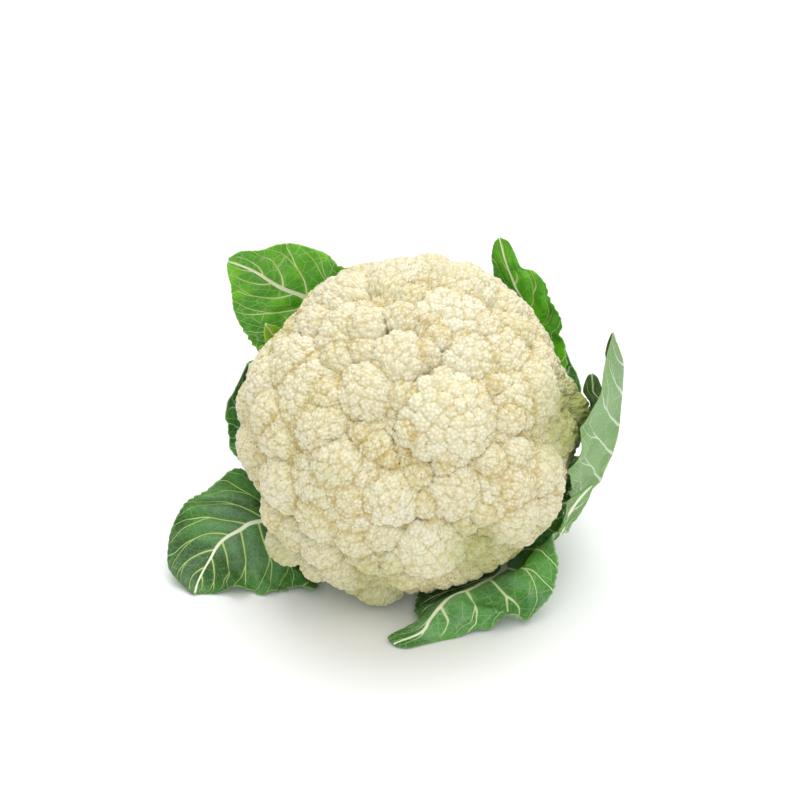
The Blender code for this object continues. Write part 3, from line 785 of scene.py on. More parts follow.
def curd_finish():
    """Ivory grains, painted shade in creases and gaps, brown specks, green painted shade, a fine relief."""
    finish = Finish("curd")
    grain, lobe, gap, depth, shade = (finish.attribute(kind) for kind in SURFACE_KINDS)
    middle = finish.noise(90.0, 3.0)
    fine = finish.noise(900.0, 3.0, 0.6)
    colour = finish.mix(finish.noise(22.0, 2.0).fade(0.42, 0.62), IVORY, PALE)
    colour = finish.mix(finish.noise(31.0, 2.0, 0.5).fade(0.5, 0.72) * 0.6, colour, BUTTER)
    colour = finish.mix(middle.fade(0.5, 0.72) * 0.4, colour, ROSE)
    # Painted shade with a warm glow in the creases, strongest where grains, lobes and florets meet
    crease = grain * (0.50 + lobe * 0.40 + gap * 0.24) + lobe * 0.04 + gap * 0.03 + depth * depth * 0.05
    crease = crease * (0.55 + middle * 0.7)
    colour = finish.mix(crease.least(0.95), colour, CREASE_SHADE_TAN)
    # Deeper painted shade in the gaps between florets, darkest where they lie deep
    colour = finish.mix(gap * gap * gap * (depth * 2.2).least(1.0) * 0.3, colour, GAP_SHADE)
    speck = finish.cells(620.0).fade(0.34, 0.16) * fine.fade(0.43, 0.58)
    speck = speck * (depth * 1.3 + 0.04).least(1.0) * (lobe + grain).fade(0.3, 0.9)
    colour = finish.mix(speck.least(0.9), colour, BROWN)
    # Painted shade where the leaves shade the curd, tinted green by their light
    colour = finish.mix(shade * (0.6 + middle * 0.8), colour, LEAF_SHADE_GREEN)
    buds = 1.0 - finish.cells(850.0)
    normal = finish.bump(fine * 0.5 + buds, 0.00035, 0.8)
    return finish.surface(Base_Color=colour, Roughness=0.55 + fine * 0.15, Normal=normal,
                          Subsurface_Weight=0.12, Subsurface_Radius=(1.0, 0.8, 0.45),
                          Subsurface_Scale=0.0012, Specular_IOR_Level=0.3)


CURD = curd_finish()
print("curd finish nodes", len(CURD.node_tree.nodes))

# %% [markdown]
# ## The curd in pieces
#
# The side that faces the eye is cut in four quarters, to keep each piece small, and the far side is
# one more. A fan of triangles closes each piece toward the head's centre. The shading directions are
# read from the whole grid, so that the cuts between the quarters don't show.

# %% Curd
SEEN_STEP = 0.44
FAR_STEP = 0.80
SEEN_ANGLE = radians(100.0)
FAR_ANGLE = radians(82.5)
EASE = 2.0


def inside_box(points):
    """Points eased inward near the box of the plain solids, and none below the surface.

    Within a width w of a limit L, the place x becomes L - w exp((L - w - x) / w).
    """
    low, high = (np.array(corner) / MM for corner in CAD_BOX)
    near = points > high - EASE
    points = np.where(near, high - EASE * np.exp(np.minimum(high - EASE - points, 0.0) / EASE), points)
    low[2] = -np.inf
    near = points < low + EASE
    points = np.where(near, low + EASE * np.exp(np.minimum(points - low - EASE, 0.0) / EASE), points)
    points[:, 2] = np.maximum(points[:, 2], 0.0)
    return points


def add_piece(name, points, faces, guides, material, node, facing=None):
    """A finished piece from points in millimetres about the head's centre, riding on the part."""
    mesh = bpy.data.meshes.new(name)
    mesh.from_pydata(inside_box(points + HEAD_CENTRE) * MM, [], faces)
    for label, values in guides.items():
        layer = mesh.attributes.new(label, "FLOAT", "POINT")
        layer.data.foreach_set("value", np.asarray(values, np.float32))
    mesh.shade_smooth()
    if facing is not None:
        mesh.normals_split_custom_set_from_vertices(facing)
    mesh.materials.append(material)
    piece = bpy.data.objects.new(name, mesh)
    bpy.context.scene.collection.objects.link(piece)
    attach(piece, "root")
    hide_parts(node)
    return piece


def facing_of(sheet):
    """Unit directions at right angles to a grid of points, toward its upper face."""
    return unit(np.cross(np.gradient(sheet, axis=1), np.gradient(sheet, axis=0)))


def add_curd_piece(name, grid, facing):
    """One part of the curd's grid as a piece, closed by a fan to the head's centre."""
    rows, columns = grid.shape[:2]
    rim = border(rows, columns)
    fan = np.stack([np.roll(rim, -1), rim, np.full_like(rim, rows * columns)], axis=1)
    points = np.vstack([grid[..., :3].reshape(-1, 3), [[0.0, 0.0, 0.0]]])
    values = grid[..., 3:].reshape(rows * columns, -1)
    values = np.vstack([values, values.mean(axis=0)])
    facing = np.vstack([facing.reshape(-1, 3), [[0.0, 0.0, 1.0]]])
    faces = grid_faces(rows, columns).tolist() + fan.tolist()
    add_piece(name, points, faces, dict(zip(SURFACE_KINDS, values.T)), CURD, "curd", facing)
    print(name, "triangles", 2 * (rows - 1) * (columns - 1) + len(fan))


def make_curd():
    """The four quarters of the near side, and the far side."""
    cells = int((2.0 * pi * HEAD_RADIUS ** 2 * (1.0 - cos(SEEN_ANGLE))) ** 0.5 / SEEN_STEP / 2.0) * 2
    grid = curd_surface(cells, SEEN_ANGLE, TOWARD)
    facing = facing_of(grid[..., :3])
    half = cells // 2
    quarters = [(rows, columns) for rows in (slice(0, half + 1), slice(half, None))
                for columns in (slice(0, half + 1), slice(half, None))]
    for number, quarter in enumerate(quarters):
        add_curd_piece(f"curd_near_{number + 1}", grid[quarter], facing[quarter])
    cells = int((2.0 * pi * HEAD_RADIUS ** 2 * (1.0 - cos(FAR_ANGLE))) ** 0.5 / FAR_STEP)
    grid = curd_surface(cells, FAR_ANGLE, -TOWARD)
    add_curd_piece("curd_far", grid, facing_of(grid[..., :3]))


make_curd()

# %% [markdown]
# ## The stem
#
# The stem was cut square. It widens upward into the branches of the curd, so its side carries low
# ribs along it. Its skin is mottled pale green, and the cut end shows a whiter, cloudy pith. It is
# turned as one surface round the head's axis, closed at the cut and at its hollow top.

# %% Stem
STEM_RADIUS = 17.0
STEM_END = 77.7
STEM_TOP = 48.0
STEM_FLARE = 30.0
STEM_RIBS = 5.0
STEM_SIDES = 160
CUT_SHARES = (0.12, 0.3, 0.5, 0.7, 0.88, 0.97)
SIDE_SHARES = np.linspace(0.02, 1.0, 36)
TOP_SHARES = (0.8, 0.6, 0.4, 0.2)


def stem_finish():
    """Mottled pale green side and a whiter, cloudy cut end."""
    finish = Finish("stem")
    cut = finish.attribute("cut")
    mottle = finish.noise(260.0, 4.0, 0.6)
    spot = finish.noise(90.0, 2.0)
    colour = finish.mix(mottle.fade(0.35, 0.7), (0.55, 0.62, 0.36), (0.74, 0.78, 0.56))
    pith = finish.mix(spot.fade(0.3, 0.7), (0.78, 0.74, 0.55), (0.70, 0.64, 0.42))
    colour = finish.mix(cut.fade(0.4, 0.6), colour, pith)
    normal = finish.bump(mottle + finish.noise(1200.0, 2.0) * 0.3, 0.0006, 0.6)
    return finish.surface(Base_Color=colour, Roughness=0.55, Normal=normal, Subsurface_Weight=0.1,
                          Subsurface_Radius=(0.6, 0.8, 0.3), Subsurface_Scale=0.002)


def make_stem():
    """The stem's side, cut end and hollow top as rings of points about the axis, one closed surface.

    The side's radius goes from the cut to the flare by a power of the height. The cut end and the top
    are filled by rings that shrink to a pole.
    """
    sides = STEM_SIDES
    down = -HEAD_AXIS
    across = unit(np.cross(down, [0.0, 0.0, 1.0]))
    other = np.cross(down, across)
    turn = np.linspace(0.0, 2.0 * pi, sides, endpoint=False)
    around = np.cos(turn)[:, None] * across + np.sin(turn)[:, None] * other
    ribs = (1.0 + 0.06 * np.cos(STEM_RIBS * turn) + 0.012 * np.sin(17.0 * turn)
            + 0.006 * np.sin(41.0 * turn + 1.0))
    rings, cut = [], []
    for share in CUT_SHARES:
        rings.append(around * (STEM_RADIUS * share) + down * (STEM_END - 0.3 * share ** 6))
        cut.append(1.0)
    for share in SIDE_SHARES:
        radius = STEM_RADIUS + (STEM_FLARE - STEM_RADIUS) * share ** 2.2
        spread = radius * (1.0 + (ribs - 1.0) * share)
        top = np.sqrt(np.maximum(STEM_TOP ** 2 - (STEM_FLARE * ribs) ** 2, 0.0))
        along = STEM_END + (top - STEM_END) * share
        rings.append(around * spread[:, None] + along[:, None] * down)
        cut.append(0.0)
    for share in TOP_SHARES:
        height = (STEM_TOP ** 2 - (STEM_FLARE * share) ** 2) ** 0.5
        rings.append(around * (STEM_FLARE * share) + height * down)
        cut.append(0.0)
    points = np.vstack(rings + [[down * STEM_END], [down * STEM_TOP]])
    points[:, 2] = np.maximum(points[:, 2], -HEAD_CENTRE[2])
    number = np.arange(len(rings) * sides).reshape(len(rings), sides)
    after = np.roll(number, -1, axis=1)
    faces = np.stack([number[:-1], number[1:], after[1:], after[:-1]], axis=-1).reshape(-1, 4).tolist()
    cut_pole, top_pole = len(points) - 2, len(points) - 1
    faces += np.stack([np.full(sides, cut_pole), number[0], after[0]], axis=1).tolist()
    faces += np.stack([np.full(sides, top_pole), after[-1], number[-1]], axis=1).tolist()
    guides = {"cut": np.concatenate([np.repeat(cut, sides), [1.0, 0.0]])}
    add_piece("cut_stem", points, faces, guides, stem_finish(), "stem")
    print("cut_stem triangles", sum(len(face) - 2 for face in faces))


make_stem()

# %% [markdown]
# ## The leaf blades
#
# A wrapper leaf is a thin blade with a thick pale midrib. Side veins leave the rib at a slant, bend
# toward the tip and fork before they reach the toothed margin, and the green between them bulges a
# little, like a quilt. Each blade is a grid between three curves: the two edges and the rib, given
# as in the part. The vein phase counts the side veins along the rib, and is whole on each of them. It
# shapes the quilting here and steers the colours later, so the two always agree.

# %% Leaf surface
# Thickness and clearance from the florets, and the length of a tooth, in millimetres
BLADE = 0.9
LEAF_CLEARANCE = 5.3
TOOTH_PITCH = 3.9

# Columns of a blade's grid, how far they crowd to its edges, and the vein phase between its halves
BLADE_COLUMNS = 48
CROWDING = 0.35
STAGGER = 0.45


def at_depth(px, py, y):
    """Place seen at a picture point, at a depth behind the head's centre."""
    eye, run = sight_line(px, py)
    return eye + run * (y - eye[1]) / run[1]


def at_height(px, py, z):
    """Place seen at a picture point, at a height above the surface."""
    eye, run = sight_line(px, py)
    return eye + run * (z - HEAD_CENTRE[2] - eye[2]) / run[2]


def free(*points):
    """Outline points given in the head's own directions, with the height above the surface."""
    return [np.array([x, y, z - HEAD_CENTRE[2]]) for x, y, z in points]


def standing(*points):
    """Outline points of a leaf that stands, each as seen and with its depth."""
    return [at_depth(px, py, y) for px, py, y in points]


def lying(*points):
    """Outline points of a leaf that lies, each as seen and with its height."""
    return [at_height(px, py, z) for px, py, z in points]


def smooth_curve(points, count):
    """A curve through the points, read at even steps of its length."""
    points = np.asarray(points, float)
    ends = np.vstack([2.0 * points[0] - points[1], points, 2.0 * points[-1] - points[-2]])
    t = np.linspace(0.0, 1.0, 24, endpoint=False)[:, None]
    fine = [0.5 * (2.0 * b + (c - a) * t + (2.0 * a - 5.0 * b + 4.0 * c - d) * t ** 2
                   + (3.0 * b - a - 3.0 * c + d) * t ** 3)
            for a, b, c, d in zip(ends, ends[1:], ends[2:], ends[3:])]
    fine = np.vstack([*fine, points[-1:]])
    length = np.concatenate([[0.0], np.cumsum(np.linalg.norm(np.diff(fine, axis=0), axis=1))])
    places = np.linspace(0.0, length[-1], count)
    return np.stack([np.interp(places, length, fine[:, i]) for i in range(3)], axis=1), length[-1]


def clear_of_head(points):
    """Points moved straight out from the head's centre where they would come too near a floret."""
    swollen = florets.copy()
    swollen[:, 3] += LEAF_CLEARANCE
    far = np.linalg.norm(points, axis=-1, keepdims=True)
    rays = (points / far).reshape(-1, 3)
    need = np.maximum(two_exits(rays, swollen)[0], core_radius(rays) + LEAF_CLEARANCE)
    return points / far * np.maximum(far, need.reshape(far.shape))


def blade_faces(rows, columns):
    """Squares of both faces of a blade and of the rim between them."""
    upper = grid_faces(rows, columns)
    back = rows * columns
    rim = border(rows, columns)
    wall = np.stack([np.roll(rim, -1), rim, rim + back, np.roll(rim, -1) + back], axis=1)
    return np.vstack([upper, upper[:, ::-1] + back, wall])


def blade_columns():
    """Places of the grid's columns: -1 at the left edge, 0 on the rib and 1 at the right edge."""
    bent = np.sin(np.linspace(-pi / 2.0, pi / 2.0, BLADE_COLUMNS))
    return bent * CROWDING + np.linspace(-1.0, 1.0, BLADE_COLUMNS) * (1.0 - CROWDING)


def blade_sheet(left, rib, right, rows, cup, ruffle, waves, lobes):
    """The middle surface of a blade, the run from rib to edge at each point, and the edges' lengths.

    With s the share of the way out to the edge, the blade arches by the cup times the run times
    s - s2, and its edge ripples by s2 times a sine.
    """
    columns = blade_columns()
    u = np.linspace(0.0, 1.0, rows)[:, None]
    middle, _ = smooth_curve(rib, rows)
    rims, spans = zip(*[smooth_curve(side, rows) for side in (left, right)])
    wave = 1.0 + lobes * np.sin(2.0 * pi * waves * u) * np.sin(pi * u)
    edges = [middle + (edge - middle) * wave for edge in rims]
    share = np.abs(columns)
    sides = np.where(columns[None, :, None] < 0.0, edges[0][:, None], edges[1][:, None])
    run = sides - middle[:, None]
    sheet = clear_of_head(middle[:, None] + run * share[:, None])
    arch = cup * np.linalg.norm(run, axis=-1) * (share - share ** 2)
    ripple = ruffle * share ** 2 * np.sin(2.0 * pi * (waves + 0.5) * u) * np.sin(pi * u)
    return clear_of_head(sheet + facing_of(sheet) * (ripple - arch)[..., None]), run, spans


def vein_phase(u, share, stagger, veins, bend):
    """Count of the side veins, whole on each: it falls toward the edge, and wanders a little."""
    wander = (0.16 * np.sin(9.0 * u + 4.0 * share + bend[0])
              + 0.10 * np.sin(21.0 * u - 9.0 * share + bend[1])
              + 0.03 * np.sin(11.0 * share + 33.0 * u + bend[2]))
    return veins * (u - 0.20 * share ** 1.2) + stagger + wander * share


def tooth_wave(u, span, bend):
    """A saw along the edge from -0.5 to 0.5, leaning toward the tip, stronger and weaker in turn."""
    saw = u * span / TOOTH_PITCH + 0.3 * np.sin(13.0 * u + bend[3])
    saw = saw - np.floor(saw)
    return (np.minimum(saw / 0.7, (1.0 - saw) / 0.3) - 0.5) * (0.6 + 0.4 * np.sin(29.0 * u + bend[4]))


def leaf_relief(u, share, phase, waves, teeth, quilt, bend):
    """Height over the middle surface: the green rises by a squared sine of the vein phase between
    two side veins, and a fine ripple follows the edge.
    """
    quilted = np.sin(pi * phase) ** 2 * share ** 0.6
    quilted = quilted + 0.35 * np.sin(2.0 * pi * phase + 14.0 * share) * share
    ripple = 0.5 * share ** 3 * np.sin(2.0 * pi * (3.1 * waves) * u + bend[5])
    return (quilt * quilted * (1.0 - share ** 4) + ripple * teeth) * np.sin(pi * u)


def two_faces(sheet, u, share, offset, phase, petiole):
    """The points of the upper and the lower face: the lower one bulges under the rib and the side
    veins by bells of their own widths, and the upper one has a groove along the rib.
    """
    facing = facing_of(sheet)
    rib_width = 1.5 + 6.5 * (1.0 - u) ** 1.5
    rib_depth = 0.4 + petiole * (1.0 - u) ** 1.3
    line = np.abs(phase - np.round(phase))
    bulge = rib_depth * np.exp(-(offset / rib_width) ** 2)
    bulge = bulge + 0.45 * np.exp(-(line / 0.07) ** 2) * (1.0 - share) * np.sin(pi * u)
    groove = 0.35 * np.exp(-(offset / (0.5 * rib_width)) ** 2) * (1.0 - u) ** 0.5
    thick = BLADE * (0.5 - 0.2 * share ** 4)
    upper = sheet + facing * (thick - groove)[..., None]
    lower = sheet - facing * (thick + bulge)[..., None]
    upper[..., 2] = np.maximum(upper[..., 2], 0.7 - HEAD_CENTRE[2])
    lower[..., 2] = np.maximum(lower[..., 2], 0.02 - HEAD_CENTRE[2])
    return np.vstack([upper.reshape(-1, 3), lower.reshape(-1, 3)])


def make_leaf(name, left, rib, right, finish, cup=0.0, ruffle=1.2, waves=4.0, lobes=0.0, rows=132,
              petiole=5.0, veins=6.0, teeth=1.1, quilt=1.9):
    """A leaf in its two faces, and the guides that its finish reads at every point.

    The edge moves in and out by the tooth wave, and the whole blade up and down by the relief.
    """
    sheet, run, spans = blade_sheet(left, rib, right, rows, cup, ruffle, waves, lobes)
    columns = blade_columns()
    on_left = columns < 0.0
    u = np.linspace(0.0, 1.0, rows)[:, None]
    share = np.abs(columns)[None, :]
    offset = share * np.linalg.norm(run, axis=-1)
    bend = np.random.default_rng(len(name) * 7 + len(rib)).uniform(0.0, 2.0 * pi, 6)
    phase = vein_phase(u, share, np.where(on_left, 0.0, STAGGER), veins, bend)
    tooth = tooth_wave(u, np.where(on_left, spans[0], spans[1]), bend)
    facing = facing_of(sheet)
    sheet = sheet + unit(run + 1e-9) * (teeth * tooth * share ** 6 * np.sin(pi * u))[..., None]
    sheet = sheet + facing * leaf_relief(u, share, phase, waves, teeth, quilt, bend)[..., None]
    one = np.ones_like(phase)
    guides = {
        "face": np.concatenate([one.ravel(), 0.0 * one.ravel()]),
        "phase": np.tile(phase.ravel(), 2),
        "share": np.tile((share * one).ravel(), 2),
        "along": np.tile((u * one).ravel(), 2),
        "offset": np.tile((offset * np.sign(columns)).ravel(), 2),
        "length": np.tile((u * (spans[0] + spans[1]) / 2.0 * one).ravel(), 2),
    }
    points = two_faces(sheet, u, share, offset, phase, petiole)
    faces = blade_faces(rows, len(columns)).tolist()
    piece = add_piece(name + "_blade", points, faces, guides, finish, name)
    print(name, "triangles", 2 * len(piece.data.polygons), "span", round(max(spans), 1))


# %% [markdown]
# ## The leaves' finish
#
# The upper face is a deep green under clouds of dull bloom, partly its own waxy bloom and partly
# painted sheen; the lower face is a pale grey green.
# Veins are drawn from the vein phase: a vein where it is whole, split in two where it forks. Two cell
# patterns laid along the blade make the faint net between them. The half of a blade that the head
# keeps from the light can be painted darker toward the stem, as painted shade. The thin margin is pale.

# %% Leaf finish
# Bluish grey green of the waxy bloom and of painted sheen, and the pale green of the rib
WAX_AND_SHEEN = (0.26, 0.42, 0.27)
RIB = (0.92, 0.96, 0.70)


def leaf_finish(name, upper, deep, lower, vein, margin, wax_and_sheen, thickness=0.018, net=0.2, shaded_half=0.0):
    """Green blade, pale rib, forked side veins, a fine net, a waxy bloom and painted sheen, a pale margin.

    The thickness is the rib's growth per length, the net the strength of the wide cells, and the
    shaded half how far one half is painted darker toward the stem, as painted shade: the right half if
    it is above 0, else the left one.
    """
    finish = Finish(name)
    face = finish.attribute("face")
    phase = finish.attribute("phase")
    share = finish.attribute("share")
    along = finish.attribute("along")
    offset = finish.attribute("offset")
    length = finish.attribute("length")
    jitter = finish.noise(70.0, 1.0) - 0.5
    fork = (share - 0.48).most(0.0) * 0.62
    line = ((phase + jitter * 0.16).nearest_whole() - fork).absolute()
    width = (1.05 - share) * 0.055 + 0.010
    side_vein = 1.0 - (line / width).fade(0.45, 1.3)
    rib_width = (length / along.most(0.02) - length) * thickness + 0.4
    rib = 1.0 - (offset.absolute() / rib_width).fade(0.6, 1.1)
    flat = finish.node("ShaderNodeCombineXYZ", {},
                       {0: offset * MM + jitter * 0.0018, 1: length * MM, 2: 0.0}).outputs[0]
    coarse = finish.cells(120.0, "DISTANCE_TO_EDGE", flat)
    small = finish.cells(420.0, "DISTANCE_TO_EDGE", flat)
    web = (1.0 - coarse.fade(0.006, 0.035)) * net + (1.0 - small.fade(0.02, 0.10)) * 0.10
    tone = finish.noise(48.0, 3.0)
    colour = finish.mix(tone.fade(0.38, 0.60), upper, deep)
    # Painted shade: one half of the blade darkened toward the stem, where the head keeps it from the light
    shaded_half_mask = (offset * (1.0 if shaded_half > 0.0 else -1.0)).fade(-3.0, 9.0) * along.fade(0.85, 0.5) * abs(shaded_half)
    # Clouds of bluish grey green: partly the leaf's own waxy bloom, partly painted sheen
    sheen_and_wax = finish.noise(33.0, 2.0).fade(0.42, 0.66) * wax_and_sheen * (line * 3.0).least(1.0)
    colour = finish.mix(sheen_and_wax, colour, WAX_AND_SHEEN)
    colour = finish.mix(shaded_half_mask, colour, tuple(0.12 * part for part in deep))
    near = (1.0 - (line / 0.22).least(1.0)) * (1.0 - share) * 0.35
    colour = finish.mix(near.least(1.0), colour, tuple(0.55 * a + 0.45 * b for a, b in zip(upper, vein)))
    under = finish.mix(tone.fade(0.3, 0.7), lower, tuple(0.80 * part for part in lower))
    green = finish.mix(face, under, colour)
    green = finish.mix((side_vein * 0.9).most(web).least(1.0), green, vein)
    green = finish.mix(rib, green, RIB)
    green = finish.mix(share.fade(0.972, 0.997) * 0.4, green, margin)
    relief = (side_vein.most(rib) * 0.9 + web) * (0.5 - face) * 2.0
    fine = finish.noise(700.0, 3.0)
    normal = finish.bump(relief + fine * 0.35, 0.0006, 0.8)
    return finish.surface(Base_Color=green, Roughness=0.42 + fine * 0.12, Normal=normal,
                          Subsurface_Weight=0.06, Subsurface_Radius=(0.4, 0.8, 0.2), Subsurface_Scale=0.001,
                          Specular_IOR_Level=0.3)


# The two upper leaves are painted brighter, as painted light shining through them from behind
LEAF_PAINTED_BACKLIGHT = leaf_finish("leaf_bright", (0.17, 0.60, 0.012), (0.07, 0.36, 0.008), (0.24, 0.46, 0.08),
                     (0.80, 0.92, 0.45), (0.50, 0.72, 0.16), 0.12, thickness=0.022, net=0.28, shaded_half=-0.6)
RIGHT_LEAF_PAINTED_BACKLIGHT = leaf_finish("leaf_painted_backlight_right", (0.12, 0.50, 0.006), (0.04, 0.28, 0.004), (0.30, 0.60, 0.26),
                           (0.58, 0.80, 0.26), (0.40, 0.66, 0.12), 0.06, thickness=0.008, net=0.16)
YOUNG = leaf_finish("leaf_young", (0.26, 0.55, 0.015), (0.12, 0.36, 0.008), (0.34, 0.52, 0.12),
                    (0.72, 0.84, 0.26), (0.62, 0.74, 0.20), 0.05)
# A darker copy of the leaf green for leaves that lie in shade: painted shade
LEAF_PAINTED_SHADE = leaf_finish("leaf_dark", (0.045, 0.20, 0.022), (0.015, 0.085, 0.008), (0.24, 0.40, 0.18),
                   (0.58, 0.76, 0.28), (0.36, 0.55, 0.20), 0.36, thickness=0.016, net=0.12)
# A lighter copy of the same green for the lit lower right leaf: painted light
LOWER = leaf_finish("leaf_lower", (0.075, 0.33, 0.025), (0.03, 0.19, 0.014), (0.24, 0.40, 0.18),
                    (0.74, 0.88, 0.48), (0.42, 0.62, 0.22), 0.5, thickness=0.020, shaded_half=0.9)
UNDERSIDE = leaf_finish("leaf_underside", (0.05, 0.24, 0.02), (0.02, 0.11, 0.01), (0.23, 0.42, 0.13),
                        (0.70, 0.84, 0.58), (0.45, 0.62, 0.26), 0.3, thickness=0.010)
print("leaf finishes", len({LEAF_PAINTED_BACKLIGHT, RIGHT_LEAF_PAINTED_BACKLIGHT, YOUNG, LEAF_PAINTED_SHADE, LOWER, UNDERSIDE}))

# %% [markdown]
# ## The leaves in their places
#
# Each leaf starts at the stem. Its hidden part is given in the head's own directions, and its seen
# part as picture points with a depth or a height.

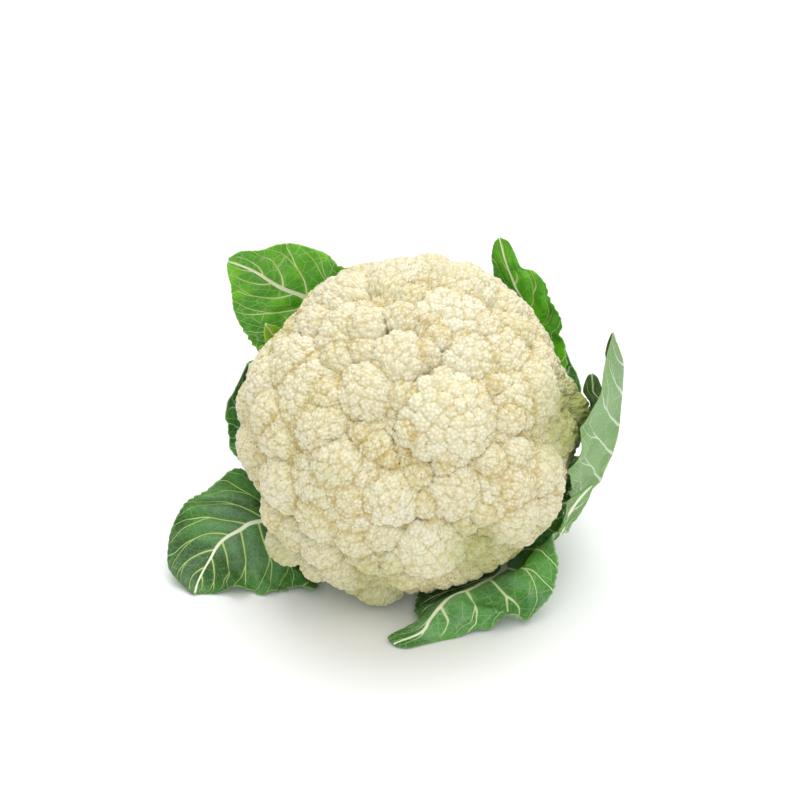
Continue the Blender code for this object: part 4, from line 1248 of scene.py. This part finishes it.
# %% Leaves
def make_leaves():
    """All eleven leaves."""
    make_leaf(
        "leaf_upper_left",
        left=free((-29, 50, 22), (-50, 66, 42), (-72, 70, 68))
        + standing((260, 354, 55), (249, 339, 55), (236, 317, 54), (232, 298, 52), (231, 286, 50),
                   (228, 276, 49), (227, 266, 48)),
        rib=free((-23, 46, 27), (-36, 68, 50), (-42, 76, 85))
        + standing((312, 302, 66), (280, 287, 60), (252, 270, 52), (228.5, 261, 48)),
        right=free((-14, 50, 32), (-22, 78, 56), (-12, 84, 92), (-8, 78, 122))
        + standing((347, 268, 66), (327, 254, 64), (304, 246, 62), (280, 244, 58), (262, 250, 54),
                   (242, 251, 50), (229, 258, 48)),
        finish=LEAF_PAINTED_BACKLIGHT, cup=0.12, veins=11.0, teeth=1.6, quilt=2.4)
    make_leaf(
        "leaflet_upper_left",
        left=free((-36, 48, 24), (-66, 58, 48)) + standing((260, 353, 44), (265, 345, 43), (264, 334, 42),
                                                           (264.5, 325.5, 42)),
        rib=free((-31, 45, 28), (-58, 62, 54)) + standing((278, 343, 50), (271, 333, 46), (265.5, 324.5, 42)),
        right=free((-28, 50, 34), (-54, 70, 62)) + standing((293, 334, 54), (283, 329, 50), (276, 326, 46),
                                                            (266.5, 324, 42)),
        finish=YOUNG, waves=3.0, petiole=2.5, rows=96)
    make_leaf(
        "leaf_upper_right",
        left=free((-2, 54, 34), (6, 84, 70), (20, 86, 106))
        + standing((493, 290, 68), (493, 272, 64), (492, 255, 60), (494, 243, 56), (498, 239, 55)),
        rib=free((3, 49, 28), (22, 76, 50), (38, 84, 84))
        + standing((523, 309, 66), (515, 285, 62), (506, 262, 58), (499.5, 238.5, 55)),
        right=free((8, 50, 30), (42, 80, 56))
        + standing((560, 372, 56), (564, 352, 56), (558, 336, 57), (563, 326, 58), (557, 308, 59),
                   (549, 296, 60), (545, 284, 60), (534, 272, 60), (522, 268, 60), (516, 256, 58),
                   (509, 242, 56), (501, 238, 55)),
        finish=RIGHT_LEAF_PAINTED_BACKLIGHT, ruffle=2.0, rows=156, veins=8.0, teeth=1.7, quilt=3.2)
    make_leaf(
        "leaf_right",
        left=free((12, 44, 26), (48, 44, 24), (74, 36, 40))
        + standing((585, 455, 28), (600, 430, 30), (606, 405, 30), (608, 385, 26), (605, 362, 14),
                   (607, 345, 2), (611, 334, -5)),
        rib=free((17, 36, 21), (48, 30, 14), (72, 18, 20))
        + standing((590.5, 484, 9), (602, 467, 7), (615, 436, 5), (621, 406, 5), (624.7, 381, 5),
                   (622, 362, 2), (612, 333, -6)),
        right=free((20, 30, 16), (48, 22, 12), (68, 12, 26))
        + standing((562, 489, -16), (566, 468, -26), (570, 450, -30), (579, 432, -30), (594, 406, -27),
                   (602, 385, -22), (606, 362, -16), (613, 334, -7)),
        finish=UNDERSIDE, cup=0.1, veins=11.0)
    make_leaf(
        "leaf_right_small",
        left=free((10, 51, 34), (44, 66, 38)) + standing((584, 412, 37), (583, 390, 36), (587, 377, 35),
                                                         (590, 374.5, 35)),
        rib=free((14, 46, 32), (49, 59, 36)) + standing((594, 408, 36), (593, 390, 35), (592, 374, 34)),
        right=free((19, 44, 31), (55, 52, 34)) + standing((605, 410, 34), (603, 392, 34), (598, 378, 34),
                                                          (594, 374.5, 34)),
        finish=LEAF_PAINTED_SHADE, petiole=2.5, rows=96)
    make_leaf(
        "leaf_right_low",
        left=free((29, 33, 10), (56, 14, 5)) + standing((563, 534, -23), (572, 523, -22), (581, 512, -20),
                                                   (588, 500, -16), (593, 487, -11)),
        rib=free((27, 29, 8), (53, 9, 5)) + standing((557, 534, -25), (565, 518, -24), (574, 505, -21),
                                                  (582, 495, -17), (591, 485.5, -11)),
        right=free((25, 25, 7), (50, 4, 5)) + standing((552, 533, -26), (553, 519, -26), (560, 510, -24),
                                                    (571, 498, -20), (588, 485.5, -12)),
        finish=UNDERSIDE, ruffle=0.8, petiole=2.0, rows=108)
    make_leaf(
        "leaf_lower_right",
        left=free((17, 16, 12), (50, -14, 22))
        + lying((566, 503, 37), (560, 517, 36), (554, 532, 37), (555, 547, 35), (559, 561, 30),
                (556, 578, 22), (553, 591, 16), (546, 602, 12), (534, 614, 6), (525, 622, 3),
                (517, 616, 8), (508, 615, 10),
                (497, 621, 6), (490, 629, 2), (477, 629, 3), (456, 638, 0.4), (431, 643, 0.4),
                (407, 648, 1), (396, 646, 1)),
        rib=free((12, 20, 12), (32, 2, 9))
        + lying((505, 567.5, 12), (477, 586, 15), (450, 597, 15), (431, 618, 9), (422, 632, 5),
                (394, 644, 2)),
        right=free((4, 17, 8), (14, -6, 5))
        + lying((432, 577, 8), (419, 590, 5), (414.5, 610, 2), (419, 618, 5), (408, 626, 5),
                (389, 636, 3), (389, 641, 2)),
        finish=LOWER, cup=0.1, ruffle=0.8, rows=156, veins=9.0)
    make_leaf(
        "leaf_lower_left",
        left=free((-21, 22, 9), (-38, 6, 4))
        + lying((316, 589, 3), (304, 586, 4), (293, 587, 3), (274, 590, 3), (264, 595, 0.4), (253, 593, 0.4),
                (244, 586, 6), (233, 586, 7), (226, 590, 3), (213, 594, 0.4), (199, 594, 0.4)),
        rib=free((-26, 27, 15), (-50, 20, 13))
        + standing((257, 522, 8), (240, 530, 4), (221, 542, -3), (210, 560, -12), (199, 580, -22))
        + lying((195, 593, 1.5)),
        right=free((-28, 33, 19), (-60, 34, 24))
        + standing((241, 468, 27), (219, 480, 18), (207, 490, 14), (186, 502, 8), (173, 525, 0),
                   (167, 545, -8), (166, 560, -14), (172, 574, -20), (184, 587, -26)) + lying((192, 594, 1)),
        finish=LEAF_PAINTED_SHADE, cup=0.12, ruffle=1.5, rows=156, veins=10.0)
    make_leaf(
        "leaf_back",
        left=free((-20, 54, 26), (-44, 84, 46), (-46, 92, 76), (-34, 92, 100), (-14, 96, 110)),
        rib=free((-12, 52, 25), (-10, 84, 44), (-6, 99, 74), (-6, 100, 97), (-8, 98, 111)),
        right=free((-4, 56, 26), (26, 86, 46), (32, 96, 76), (20, 96, 100), (-2, 96, 110)),
        finish=UNDERSIDE, lobes=0.06, ruffle=1.6)
    make_leaf(
        "leaf_back_left",
        left=free((-34, 44, 14), (-72, 50, 18), (-92, 54, 36), (-92, 58, 56), (-85, 64, 70)),
        rib=free((-29, 48, 14), (-62, 68, 26), (-80, 76, 46), (-84, 74, 60), (-82, 70, 74)),
        right=free((-22, 52, 15), (-46, 80, 30), (-58, 90, 54), (-70, 84, 68), (-78, 74, 74)),
        finish=UNDERSIDE, lobes=0.06, ruffle=1.4)
    make_leaf(
        "leaf_back_right",
        left=free((6, 58, 18), (34, 84, 26), (48, 94, 50), (60, 90, 74), (68, 82, 85)),
        rib=free((14, 54, 14), (46, 72, 22), (68, 80, 44), (74, 80, 66), (72, 78, 84)),
        right=free((20, 48, 12), (58, 54, 18), (84, 60, 36), (86, 66, 62), (78, 74, 82)),
        finish=UNDERSIDE, lobes=0.06, ruffle=1.4)


make_leaves()
